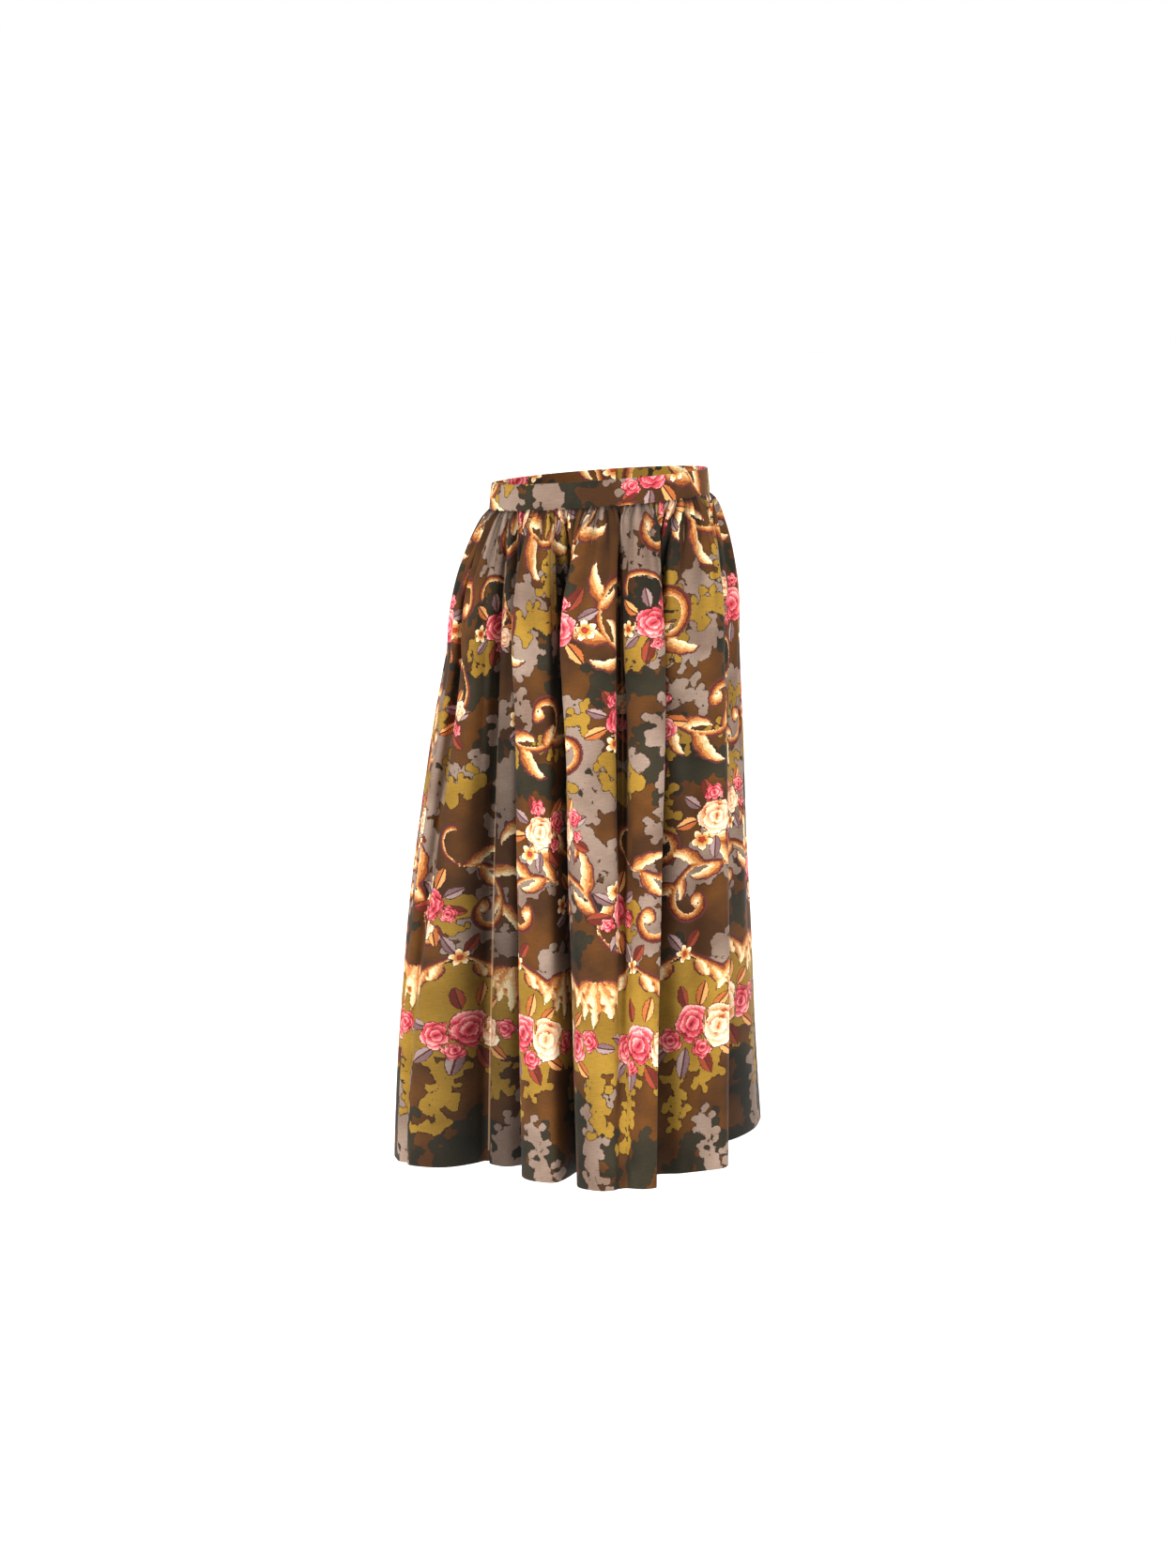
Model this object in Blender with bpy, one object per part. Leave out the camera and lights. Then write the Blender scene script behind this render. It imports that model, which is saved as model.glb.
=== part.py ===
"""Gathered midi skirt in its worn, hollow form: straight cloth panels drawn into a narrow waistband.

Metres. X runs to the wearer's left, Y to the back and Z up, from the middle of the waistband.
The cloth is a wall of even thickness round a ring that is worked out for each drop below the
waist seam. A column of the wall follows one thread of the cloth from the waist seam to the hem.
"""

import math
from collections import namedtuple

import bmesh
import bpy
import numpy as np
from mathutils import Vector

MM = 0.001

# Waistband
WAIST_HALF_WIDTH = 0.121
WAIST_HALF_DEPTH = 0.092
BAND_HEIGHT = 0.029
BAND_WALL = 0.0022
BAND_EDGE = 0.0006  # chamfer where the folded band turns over
BAND_TAPER = 0.0025  # the top edge is this much nearer the axis than the lower one
BAND_STATIONS = 84
LAP_LENGTH = 0.030  # how far the closed band's upper end passes the centre back
LAP_CLIMB = math.radians(24)  # arc over which that end climbs clear of the lower one

# Cloth
CLOTH_WALL = 0.0015
SEAM_GAP = 0.0003
SKIRT_LENGTH = 0.727  # waist seam to hem
HIP_DROP = 0.155  # where the gathers have opened into the main folds
HIP_SWELL = 2.1  # how soon the cloth swells out between the seam and the hip
SIDE_RISE = 0.08  # each ring climbs this much for each metre towards the wearer's left

# Small gathers under the waist seam
GATHER_HEIGHT = (0.0036, 0.0064)  # the flattest and the fullest
GATHER_FADE = (0.050, 0.140)  # the shortest and the longest drop over which one dies out
GATHER_HELD = 0.015  # drop to which all of them keep their height
GATHER_START = 0.002  # they start this far inside the waistband
GATHER_RISE = 0.010  # drop over which one stands up
GATHER_CREST = 0.7  # under 1: wide crests and narrow creases
COLUMNS_PER_GATHER = 6
GOLDEN_STEP = 0.618034  # these two steps spread the gathers' sizes unevenly, the same each time
PLASTIC_STEP = 0.754878

# Drops of the wall's rows: every column has the first ones, every second column the others
FINE_DROPS = (0.0, 0.007, 0.018, 0.034, 0.058)
COARSE_DROPS = (0.095, 0.155, 0.225, 0.315, 0.415, 0.520, 0.625, SKIRT_LENGTH)

# Button at the centre back
BUTTON_RADIUS = 0.0075
BUTTON_DEPTH = 0.0026
BUTTON_RIM = 0.0016
BUTTON_EDGE = 0.0005
BUTTON_DISH = 0.0007
BUTTON_SIDES = 32
HOLE_RADIUS = 0.0009
HOLE_OFFSET = 0.0018
HOLE_SIDES = 8

# One row for each main fold, in order from the seam at the wearer's right round the front. It has
# two edges, with the rounded crown between them, and a tuck after it that runs under or between
# the folds. Each place is a bearing (degrees from the centre front, positive to the wearer's left)
# and a reach (millimetres from the waist's axis): three at the hip, then three at the hem.
# seam is the tuck's bearing on the waist seam, crown the bulge as a share of the fold's width,
# and early is over 1 where the fold opens out early below the hip.
Fold = namedtuple(
    "Fold", "name gathers seam crown early hip_from hip_to hip_tuck hem_from hem_to hem_tuck"
)
FOLDS = (
    Fold("right_hip", 3, -61, 0.10, 1.7,
         (-81, 164), (-64, 163), (-66, 146),
         (-84, 232), (-74, 222), (-71, 216)),
    Fold("front_right", 3, -44, 0.17, 1.5,
         (-55, 167), (-46, 141), (-45, 124),
         (-68, 212), (-59, 146), (-57, 134)),
    Fold("front_inner", 2, -33, 0.08, 1.3,
         (-44, 128), (-37, 121), (-35, 100),
         (-56, 136), (-42, 124), (-36, 103)),
    Fold("front_strip", 4, -9, 0.18, 1.0,
         (-26, 148), (-12, 139), (-6, 88),
         (-24, 146), (-5, 166), (6, 100)),
    Fold("centre_right", 5, 19, 0.11, 1.6,
         (-4, 140), (18, 142), (24, 102),
         (4, 189), (16, 206), (19, 205)),
    Fold("centre_left", 4, 46, 0.13, 1.5,
         (23, 141), (39, 153), (38, 109),
         (22, 210), (29, 221), (28, 164)),
    Fold("front_left", 7, 93, 0.12, 1.0,
         (43, 140), (73, 156), (84, 118),
         (38, 172), (55, 198), (91, 131)),
    Fold("left_side", 4, 121, 0.12, 1.0,
         (91, 142), (116, 157), (123, 133),
         (89, 146), (123, 198), (133, 182)),
    Fold("back_left", 4, 142, 0.14, 1.0,
         (130, 161), (149, 157), (150, 126),
         (139, 211), (156, 216), (157, 187)),
    Fold("back_inner", 6, 174, 0.12, 1.0,
         (158, 154), (177, 149), (176, 108),
         (165, 216), (180, 215), (181, 175)),
    Fold("back_outer", 5, 200, 0.12, 1.0,
         (184, 147), (200, 149), (207, 110),
         (187, 215), (200, 212), (206, 179)),
    Fold("back_right", 5, 228, 0.12, 1.2,
         (208, 152), (227, 158), (234, 126),
         (207, 215), (223, 217), (229, 190)),
    Fold("back_hip", 4, 255, 0.12, 1.4,
         (234, 160), (253, 165), (257, 135),
         (231, 218), (246, 226), (250, 202)),
    Fold("right_side", 4, 278, 0.12, 1.7,
         (260, 166), (273, 168), (275, 149),
         (255, 229), (269, 238), (273, 221)),
)
POINTS_PER_FOLD = 5
SPAN_STEPS = 16  # fine steps of the plan curve between two of its points
TUCK_RADIUS = 0.0030

# Each panel runs from the tuck before its first fold to the tuck after its last, where the seams hide
PANELS = (
    ("front_panel", "right_hip", "front_left"),
    ("back_left_panel", "left_side", "back_inner"),
    ("back_right_panel", "back_outer", "right_side"),
)

CLOTH_COLOUR = (0.118, 0.071, 0.030, 1.0)
HORN_COLOUR = (0.022, 0.014, 0.009, 1.0)


def clear_scene():
    for item in list(bpy.data.objects):
        bpy.data.objects.remove(item, do_unlink=True)


def make_material(name, colour, roughness):
    material = bpy.data.materials.new(name)
    material.use_nodes = True
    shader = material.node_tree.nodes["Principled BSDF"]
    shader.inputs["Base Color"].default_value = colour
    shader.inputs["Roughness"].default_value = roughness
    shader.inputs["Metallic"].default_value = 0.0
    return material


def add_solid(name, bm, material):
    """One object from a finished closed mesh, with its faces turned outwards."""
    bmesh.ops.recalc_face_normals(bm, faces=bm.faces)
    mesh = bpy.data.meshes.new(name)
    bm.to_mesh(mesh)
    bm.free()
    mesh.materials.append(material)
    mesh.shade_smooth()
    mesh.set_sharp_from_angle(angle=math.radians(50))
    solid = bpy.data.objects.new(name, mesh)
    bpy.context.scene.collection.objects.link(solid)
    return solid


def plan_point(place):
    bearing, reach = math.radians(place[0]), place[1] * MM
    return np.array([math.sin(bearing) * reach, -math.cos(bearing) * reach])


def waist_points(bearings, outwards=0.0):
    """Points of the waist's oval at these bearings in radians."""
    across = (WAIST_HALF_WIDTH + outwards) * np.sin(bearings)
    along = -(WAIST_HALF_DEPTH + outwards) * np.cos(bearings)
    return np.column_stack([across, along])


def raised(plan, height):
    """Plan points as points in space, on a ring that climbs towards the wearer's left."""
    return np.column_stack([plan, height + SIDE_RISE * plan[:, 0]])


def fold_points(level):
    """Control points of the plan curve at the hip or the hem, POINTS_PER_FOLD for each fold.

    They are the two sides of the tuck's round bottom before the fold, then its edge, crown and edge.
    """
    points = []
    for index, fold in enumerate(FOLDS):
        before = plan_point(getattr(FOLDS[index - 1], level + "_to"))
        tuck = plan_point(getattr(FOLDS[index - 1], level + "_tuck"))
        start = plan_point(getattr(fold, level + "_from"))
        end = plan_point(getattr(fold, level + "_to"))
        inward = tuck - (before + start) / 2
        across = np.array([inward[1], -inward[0]]) * TUCK_RADIUS / np.linalg.norm(inward)
        if across @ (start - before) < 0:
            across = -across
        outward = np.array([(end - start)[1], -(end - start)[0]])
        crown = (start + end) / 2 + outward * fold.crown
        points += [tuck - across, tuck + across, start, crown, end]
    return np.array(points)


def smooth_closed(points):
    """SPAN_STEPS points for each span of a closed centripetal Catmull-Rom curve through the points."""
    before, start, end, after = (np.roll(points, shift, axis=0) for shift in (1, 0, -1, -2))
    step_in, step, step_out = (
        np.sqrt(np.linalg.norm(b - a, axis=1))[:, None]
        for a, b in ((before, start), (start, end), (end, after))
    )
    leave = (start - before) / step_in - (end - before) / (step_in + step) + (end - start) / step
    arrive = (end - start) / step - (after - start) / (step + step_out) + (after - end) / step_out
    leave, arrive = leave * step, arrive * step
    t = (np.arange(SPAN_STEPS) / SPAN_STEPS)[None, :, None]
    start, end, leave, arrive = (a[:, None, :] for a in (start, end, leave, arrive))
    curve = (
        start * (2 * t**3 - 3 * t**2 + 1)
        + leave * (t**3 - 2 * t**2 + t)
        + end * (3 * t**2 - 2 * t**3)
        + arrive * (t**3 - t**2)
    )
    return curve.reshape(-1, 2)


def length_shares(curve):
    """How far round the closed curve each of its points is, from 0, with 1 added at the end."""
    steps = np.linalg.norm(np.roll(curve, -1, axis=0) - curve, axis=1)
    return np.concatenate([[0.0], np.cumsum(steps)]) / steps.sum()


class Cloth:
    """The cloth's columns: each one's place at the seam, the hip and the hem, and its gather."""

    def __init__(self):
        hip, hem = smooth_closed(fold_points("hip")), smooth_closed(fold_points("hem"))
        shares = (length_shares(hip) + length_shares(hem)) / 2
        tucks = shares[SPAN_STEPS // 2 :: POINTS_PER_FOLD * SPAN_STEPS]
        counts = [fold.gathers * COLUMNS_PER_GATHER for fold in FOLDS]
        self.starts = np.concatenate([[0], np.cumsum(counts)])  # the column of each fold's first tuck
        self.count = int(self.starts[-1])
        column = np.arange(self.count)
        share = np.interp(column, self.starts, np.append(tucks, 1 + tucks[0])) % 1
        self.hip = self.read_at(share, shares, hip)
        self.hem = self.read_at(share, shares, hem)
        bearings = np.radians([FOLDS[-1].seam - 360] + [fold.seam for fold in FOLDS])
        self.seam = waist_points(np.interp(column, self.starts, bearings))
        early = np.array([fold.early for fold in FOLDS])
        middles = (self.starts[:-1] + self.starts[1:]) / 2
        self.early = np.interp(column, middles, early, period=self.count)[:, None]
        gather = column // COLUMNS_PER_GATHER
        phase = (column % COLUMNS_PER_GATHER) / COLUMNS_PER_GATHER
        low, high = GATHER_HEIGHT
        self.height = low + (high - low) * (gather * GOLDEN_STEP % 1)
        self.profile = (0.5 - 0.5 * np.cos(2 * math.pi * phase)) ** GATHER_CREST
        low, high = GATHER_FADE
        self.fade = low + (high - low) * (gather * PLASTIC_STEP % 1)

    @staticmethod
    def read_at(share, shares, curve):
        closed = np.vstack([curve, curve[:1]])
        return np.column_stack([np.interp(share, shares, closed[:, axis]) for axis in (0, 1)])

    def ring(self, drop):
        """Middle of the cloth at this drop, as a plan point for each column."""
        if drop <= HIP_DROP:
            opened = 1 - (1 - drop / HIP_DROP) ** HIP_SWELL
            ring = self.seam * (1 - opened) + self.hip * opened
        else:
            opened = 1 - (1 - (drop - HIP_DROP) / (SKIRT_LENGTH - HIP_DROP)) ** self.early
            ring = self.hip * (1 - opened) + self.hem * opened
        stood = 1 - math.exp(-(drop + GATHER_START) / GATHER_RISE)
        left = np.exp(-((max(drop - GATHER_HELD, 0) / self.fade) ** 1.4))
        crest = self.height * stood * left
        lift = crest * self.profile - crest.mean() / 2
        return ring + ring_frame(ring)[0] * lift[:, None]


def ring_frame(ring):
    """Outward normal, direction of travel and mitre (cosine of half the turn) of a closed ring's points."""
    into = ring - np.roll(ring, 1, axis=0)
    out = np.roll(ring, -1, axis=0) - ring
    into /= np.linalg.norm(into, axis=1)[:, None]
    out /= np.linalg.norm(out, axis=1)[:, None]
    along = into + out
    along /= np.linalg.norm(along, axis=1)[:, None]
    normal = np.column_stack([along[:, 1], -along[:, 0]])
    return normal, along, (along * out).sum(axis=1)


def wall_rows(cloth, first, last):
    """Outer and inner rows of a panel's wall, from column first to column last."""
    seam_height = -BAND_HEIGHT / 2 - SEAM_GAP
    outer, inner = [], []
    for drop in FINE_DROPS + COARSE_DROPS:
        ring = cloth.ring(drop)
        normal, along, mitre = ring_frame(ring)
        columns = np.arange(first, last + 1, 1 if drop in FINE_DROPS else 2) % cloth.count
        middle = ring[columns].copy()
        middle[0] += along[columns[0]] * SEAM_GAP / 2
        middle[-1] -= along[columns[-1]] * SEAM_GAP / 2
        half = (normal / mitre[:, None])[columns] * CLOTH_WALL / 2
        outer.append(raised(middle + half, seam_height - drop))
        inner.append(raised(middle - half, seam_height - drop))
    return outer, inner


def skin_faces(bm, upper, lower):
    """Faces between two rows of points, where the lower one may have every second column only."""
    if len(upper) == len(lower):
        for k in range(len(upper) - 1):
            bm.faces.new((upper[k], lower[k], lower[k + 1], upper[k + 1]))
        return
    for k in range(len(lower) - 1):
        left, middle, right = upper[2 * k : 2 * k + 3]
        bm.faces.new((left, lower[k], middle))
        bm.faces.new((middle, lower[k], lower[k + 1]))
        bm.faces.new((middle, lower[k + 1], right))


def build_panel(name, cloth, first, last, material):
    bm = bmesh.new()
    walls = wall_rows(cloth, first, last)
    outer, inner = ([[bm.verts.new(point) for point in row] for row in wall] for wall in walls)
    for rows in (outer, inner):
        for upper, lower in zip(rows, rows[1:]):
            skin_faces(bm, upper, lower)
    for row in (0, -1):
        skin_faces(bm, outer[row], inner[row])
    for column in (0, -1):
        skin_faces(bm, [row[column] for row in outer], [row[column] for row in inner])
    return add_solid(name, bm, material)


def band_section():
    """Corners of the folded band, as (outwards, height)."""
    half_wall, half_height = BAND_WALL / 2, BAND_HEIGHT / 2
    corners = []
    for side, up in ((1, -1), (1, 1), (-1, 1), (-1, -1)):
        flat = (side * half_wall, up * (half_height - BAND_EDGE))
        turned = (side * (half_wall - BAND_EDGE), up * half_height)
        corners += [flat, turned] if side == up else [turned, flat]
    return corners


def lap_offset(angle):
    """How far out the band runs: its upper end climbs over its lower one."""
    done = (angle - (3 * math.pi - LAP_CLIMB)) / (0.9 * LAP_CLIMB)
    done = min(max(done, 0.0), 1.0)
    return (BAND_WALL + SEAM_GAP) * done * done * (3 - 2 * done)


def build_waistband(material):
    """A strip that starts at the centre back, goes once round and laps over its own start."""
    bm = bmesh.new()
    end = 3 * math.pi + LAP_LENGTH / WAIST_HALF_WIDTH
    rings = []
    for angle in np.linspace(math.pi, end, BAND_STATIONS):
        ring = []
        for out, height in band_section():
            inwards = BAND_TAPER * (0.5 + height / BAND_HEIGHT)
            plan = waist_points(np.array([angle]), out - inwards + lap_offset(angle))
            ring.append(bm.verts.new(raised(plan, height)[0]))
        rings.append(ring)
    corners = len(rings[0])
    for ring, following in zip(rings, rings[1:]):
        for k in range(corners):
            bm.faces.new((ring[k], ring[(k + 1) % corners], following[(k + 1) % corners], following[k]))
    bm.faces.new(rings[0])
    bm.faces.new(rings[-1])
    return add_solid("waistband", bm, material)


def turned_disc(profile, sides):
    """A closed turned shape from (radius, height) points, the first and last of them on the axis."""
    bm = bmesh.new()
    low, high = (bm.verts.new((0, 0, profile[k][1])) for k in (0, -1))
    rings = []
    for radius, height in profile[1:-1]:
        turns = [2 * math.pi * k / sides for k in range(sides)]
        rings.append([bm.verts.new((radius * math.cos(a), radius * math.sin(a), height)) for a in turns])
    for k in range(sides):
        after = (k + 1) % sides
        bm.faces.new((low, rings[0][after], rings[0][k]))
        bm.faces.new((high, rings[-1][k], rings[-1][after]))
        for ring, following in zip(rings, rings[1:]):
            bm.faces.new((ring[k], ring[after], following[after], following[k]))
    return bm


def build_button(material):
    """A dished button with four holes, on the waistband's lap at the centre back."""
    flat, edge = BUTTON_DEPTH - BUTTON_DISH, BUTTON_EDGE
    profile = (
        (0, 0),
        (BUTTON_RADIUS - edge, 0),
        (BUTTON_RADIUS, edge),
        (BUTTON_RADIUS, BUTTON_DEPTH - edge),
        (BUTTON_RADIUS - edge, BUTTON_DEPTH),
        (BUTTON_RADIUS - BUTTON_RIM, BUTTON_DEPTH),
        (BUTTON_RADIUS - BUTTON_RIM - edge, flat),
        (0, flat),
    )
    button = add_solid("waist_button", turned_disc(profile, BUTTON_SIDES), material)
    angle = 3 * math.pi + 0.55 * LAP_LENGTH / WAIST_HALF_WIDTH
    outwards = lap_offset(angle) + BAND_WALL / 2 + SEAM_GAP - BAND_TAPER / 2
    normal = Vector((math.sin(angle) / WAIST_HALF_WIDTH, -math.cos(angle) / WAIST_HALF_DEPTH, 0))
    normal = normal.normalized()
    normal.z = BAND_TAPER / BAND_HEIGHT
    button.location = raised(waist_points(np.array([angle]), outwards), 0.0)[0]
    button.rotation_euler = normal.to_track_quat("Z", "Y").to_euler()
    for k in range(4):
        turn = math.pi / 4 + k * math.pi / 2
        hole = (
            (0, -BUTTON_DEPTH),
            (HOLE_RADIUS, -BUTTON_DEPTH),
            (HOLE_RADIUS, 2 * BUTTON_DEPTH),
            (0, 2 * BUTTON_DEPTH),
        )
        cutter = add_solid(f"button_hole_{k + 1}", turned_disc(hole, HOLE_SIDES), material)
        cutter.parent = button
        cutter.location = (HOLE_OFFSET * math.cos(turn), HOLE_OFFSET * math.sin(turn), 0)
        cutter.hide_render = True
        cutter.display_type = "WIRE"
        cut = button.modifiers.new(f"hole_{k + 1}", "BOOLEAN")
        cut.operation = "DIFFERENCE"
        cut.solver = "EXACT"
        cut.object = cutter
    return button


def main():
    clear_scene()
    cloth_material = make_material("printed_cloth", CLOTH_COLOUR, 0.8)
    horn_material = make_material("dark_horn", HORN_COLOUR, 0.35)
    cloth = Cloth()
    order = [fold.name for fold in FOLDS]
    for name, first, last in PANELS:
        start = cloth.starts[order.index(first)]
        end = cloth.starts[order.index(last) + 1]
        build_panel(name, cloth, start, end, cloth_material)
    build_waistband(cloth_material)
    build_button(horn_material)


main()
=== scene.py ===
from functools import partial
from math import ceil, cos, dist, exp, floor, pi, radians, sin, sqrt
import bmesh
import bpy
import numpy as np
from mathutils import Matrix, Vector


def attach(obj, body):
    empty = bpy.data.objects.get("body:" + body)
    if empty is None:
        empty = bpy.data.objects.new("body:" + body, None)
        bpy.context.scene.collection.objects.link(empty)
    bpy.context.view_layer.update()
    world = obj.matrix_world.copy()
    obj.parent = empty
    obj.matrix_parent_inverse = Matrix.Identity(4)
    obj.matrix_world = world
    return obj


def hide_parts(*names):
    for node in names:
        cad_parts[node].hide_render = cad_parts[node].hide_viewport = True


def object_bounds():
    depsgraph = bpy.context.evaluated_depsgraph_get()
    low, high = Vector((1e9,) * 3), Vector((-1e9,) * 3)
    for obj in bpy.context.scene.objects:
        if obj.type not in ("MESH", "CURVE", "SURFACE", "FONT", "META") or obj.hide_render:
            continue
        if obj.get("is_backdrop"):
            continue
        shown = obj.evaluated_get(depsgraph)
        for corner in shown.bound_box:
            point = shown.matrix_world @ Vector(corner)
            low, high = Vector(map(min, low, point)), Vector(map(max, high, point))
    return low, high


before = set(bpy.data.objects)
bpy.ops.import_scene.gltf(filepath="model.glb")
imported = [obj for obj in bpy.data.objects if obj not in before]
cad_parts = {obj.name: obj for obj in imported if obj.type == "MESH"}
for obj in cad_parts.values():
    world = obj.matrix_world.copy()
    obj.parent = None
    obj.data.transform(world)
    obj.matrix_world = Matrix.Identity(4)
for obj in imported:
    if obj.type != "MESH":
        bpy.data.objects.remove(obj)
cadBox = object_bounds()


def linear(hexColour):
    channels = [int(hexColour[k : k + 2], 16) / 255 for k in (1, 3, 5)]
    return [c / 12.92 if c <= 0.04045 else ((c + 0.055) / 1.055) ** 2.4 for c in channels] + [1.0]


def addNode(tree, kind, *values, take=None, stops=None, sockets=None, **settings):
    # kind may end in the node's operation; values fill its sockets in order and sockets fills them by name
    kind, _, operation = kind.partition(" ")
    node = tree.nodes.new("ShaderNode" + kind)
    if operation:
        settings["operation"] = operation
    if kind == "Mix":
        settings.setdefault("data_type", "RGBA")
    for name, value in settings.items():
        setattr(node, name, value)
    if stops:  # a ramp's places and colours
        ramp = node.color_ramp
        while len(ramp.elements) < len(stops):
            ramp.elements.new(0.5)
        for element, (place, colour) in zip(ramp.elements, stops):
            element.position = place
            element.color = linear(colour)
        ramp.interpolation = "CONSTANT"
    free = [socket for socket in node.inputs if socket.enabled]
    named = {socket.name: socket for socket in reversed(free)}
    filled = list(zip(free, values)) + [(named[name], value) for name, value in (sockets or {}).items()]
    for socket, value in filled:
        if isinstance(value, bpy.types.NodeSocket):
            tree.links.new(value, socket)
        else:
            socket.default_value = value
    return node.outputs[take] if take else next((s for s in node.outputs if s.enabled), None)


def startNodes(owner):
    owner.use_nodes = True
    owner.node_tree.nodes.clear()
    return partial(addNode, owner.node_tree)


def addToScene(name, data):
    item = bpy.data.objects.new(name, data)
    bpy.context.scene.collection.objects.link(item)
    return item


def turnTo(item, place, facing, axis="-Z"):
    item.location, item.rotation_mode = place, "QUATERNION"
    item.rotation_quaternion = facing.to_track_quat(axis, "Y")


def meshFromGrid(name, points, material):
    rows, columns = points.shape[:2]
    index = np.arange(rows * columns).reshape(rows, columns)
    before, after = index[:, :-1], index[:, 1:]
    quads = np.stack([before[:-1], before[1:], after[1:], after[:-1]], axis=-1).reshape(-1, 4)
    mesh = bpy.data.meshes.new(name)
    mesh.vertices.add(rows * columns)
    mesh.vertices.foreach_set("co", points.astype(np.float32).ravel())
    mesh.loops.add(quads.size)
    mesh.loops.foreach_set("vertex_index", quads.astype(np.int32).ravel())
    mesh.polygons.add(len(quads))
    mesh.polygons.foreach_set("loop_start", np.arange(0, quads.size, 4, dtype=np.int32))
    mesh.update(calc_edges=True)
    mesh.validate()
    mesh.shade_smooth()
    mesh.materials.append(material)
    return addToScene(name, mesh)


def giveAttribute(piece, name, values):
    kind, field = ("FLOAT", "value") if values.ndim == 1 else ("FLOAT_VECTOR", "vector")
    attribute = piece.data.attributes.new(name, kind, "POINT")
    attribute.data.foreach_set(field, values.astype(np.float32).ravel())


# the skirt's worn form, in metres
skirt = {
    "waistHalfWidth": 0.121, "waistHalfDepth": 0.092,  # the waist's oval
    "bandHeight": 0.029,
    "length": 0.727,  # waist seam to hem
    "hipDrop": 0.155, "hipSwell": 2.1,
    "sideRise": 0.08,  # the worn skirt sits higher on the wearer's left
    "tuckRadius": 0.003,
    "cutWidth": 1.76,  # hem circumference as cut
    "hemAllowance": 0.024,
    "unevenness": 0.0007,
}

# name, gathers, seam bearing, crown, early, then bearing and reach (mm) of two edges and a tuck, hip and hem
folds = [
    ("right_hip", 3, -61, .10, 1.7, (-81, 164), (-64, 163), (-66, 146), (-84, 232), (-74, 222), (-71, 216)),
    ("front_right", 3, -44, .17, 1.5, (-55, 167), (-46, 141), (-45, 124), (-68, 212), (-59, 146), (-57, 134)),
    ("front_inner", 2, -33, .08, 1.3, (-44, 128), (-37, 121), (-35, 100), (-56, 136), (-42, 124), (-36, 103)),
    ("front_strip", 4, -9, .18, 1.0, (-26, 148), (-12, 139), (-6, 88), (-24, 146), (-5, 166), (6, 100)),
    ("centre_right", 5, 19, .11, 1.6, (-4, 140), (18, 142), (24, 102), (4, 189), (16, 206), (19, 205)),
    ("centre_left", 4, 46, .13, 1.5, (23, 141), (39, 153), (38, 109), (22, 210), (29, 221), (28, 164)),
    ("front_left", 7, 93, .12, 1.0, (43, 140), (73, 156), (84, 118), (38, 172), (55, 198), (91, 131)),
    ("left_side", 4, 121, .12, 1.0, (91, 142), (116, 157), (123, 133), (89, 146), (123, 198), (133, 182)),
    ("back_left", 4, 142, .14, 1.0, (130, 161), (149, 157), (150, 126), (139, 211), (156, 216), (157, 187)),
    ("back_inner", 6, 174, .12, 1.0, (158, 154), (177, 149), (176, 108), (165, 216), (180, 215), (181, 175)),
    ("back_outer", 5, 200, .12, 1.0, (184, 147), (200, 149), (207, 110), (187, 215), (200, 212), (206, 179)),
    ("back_right", 5, 228, .12, 1.2, (208, 152), (227, 158), (234, 126), (207, 215), (223, 217), (229, 190)),
    ("back_hip", 4, 255, .12, 1.4, (234, 160), (253, 165), (257, 135), (231, 218), (246, 226), (250, 202)),
    ("right_side", 4, 278, .12, 1.7, (260, 166), (273, 168), (275, 149), (255, 229), (269, 238), (273, 221)),
]
foldNames = [fold[0] for fold in folds]
gatherCount = sum(fold[1] for fold in folds)

gathering = {
    "height": (0.0046, 0.0094), "fade": (0.060, 0.230), "heldTo": 0.014,
    "start": 0.0015, "rise": 0.006, "crispTo": 0.05,  # narrow creases at the seam, soft waves below crispTo
    "fineHeight": 0.0042, "fineFade": 0.040,  # small creases between the gathers, only near the seam
    "sway": 0.22, "swayPace": 11, "swayGroup": 2.7,  # share of a gather, radians a metre, gathers alike
}

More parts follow.
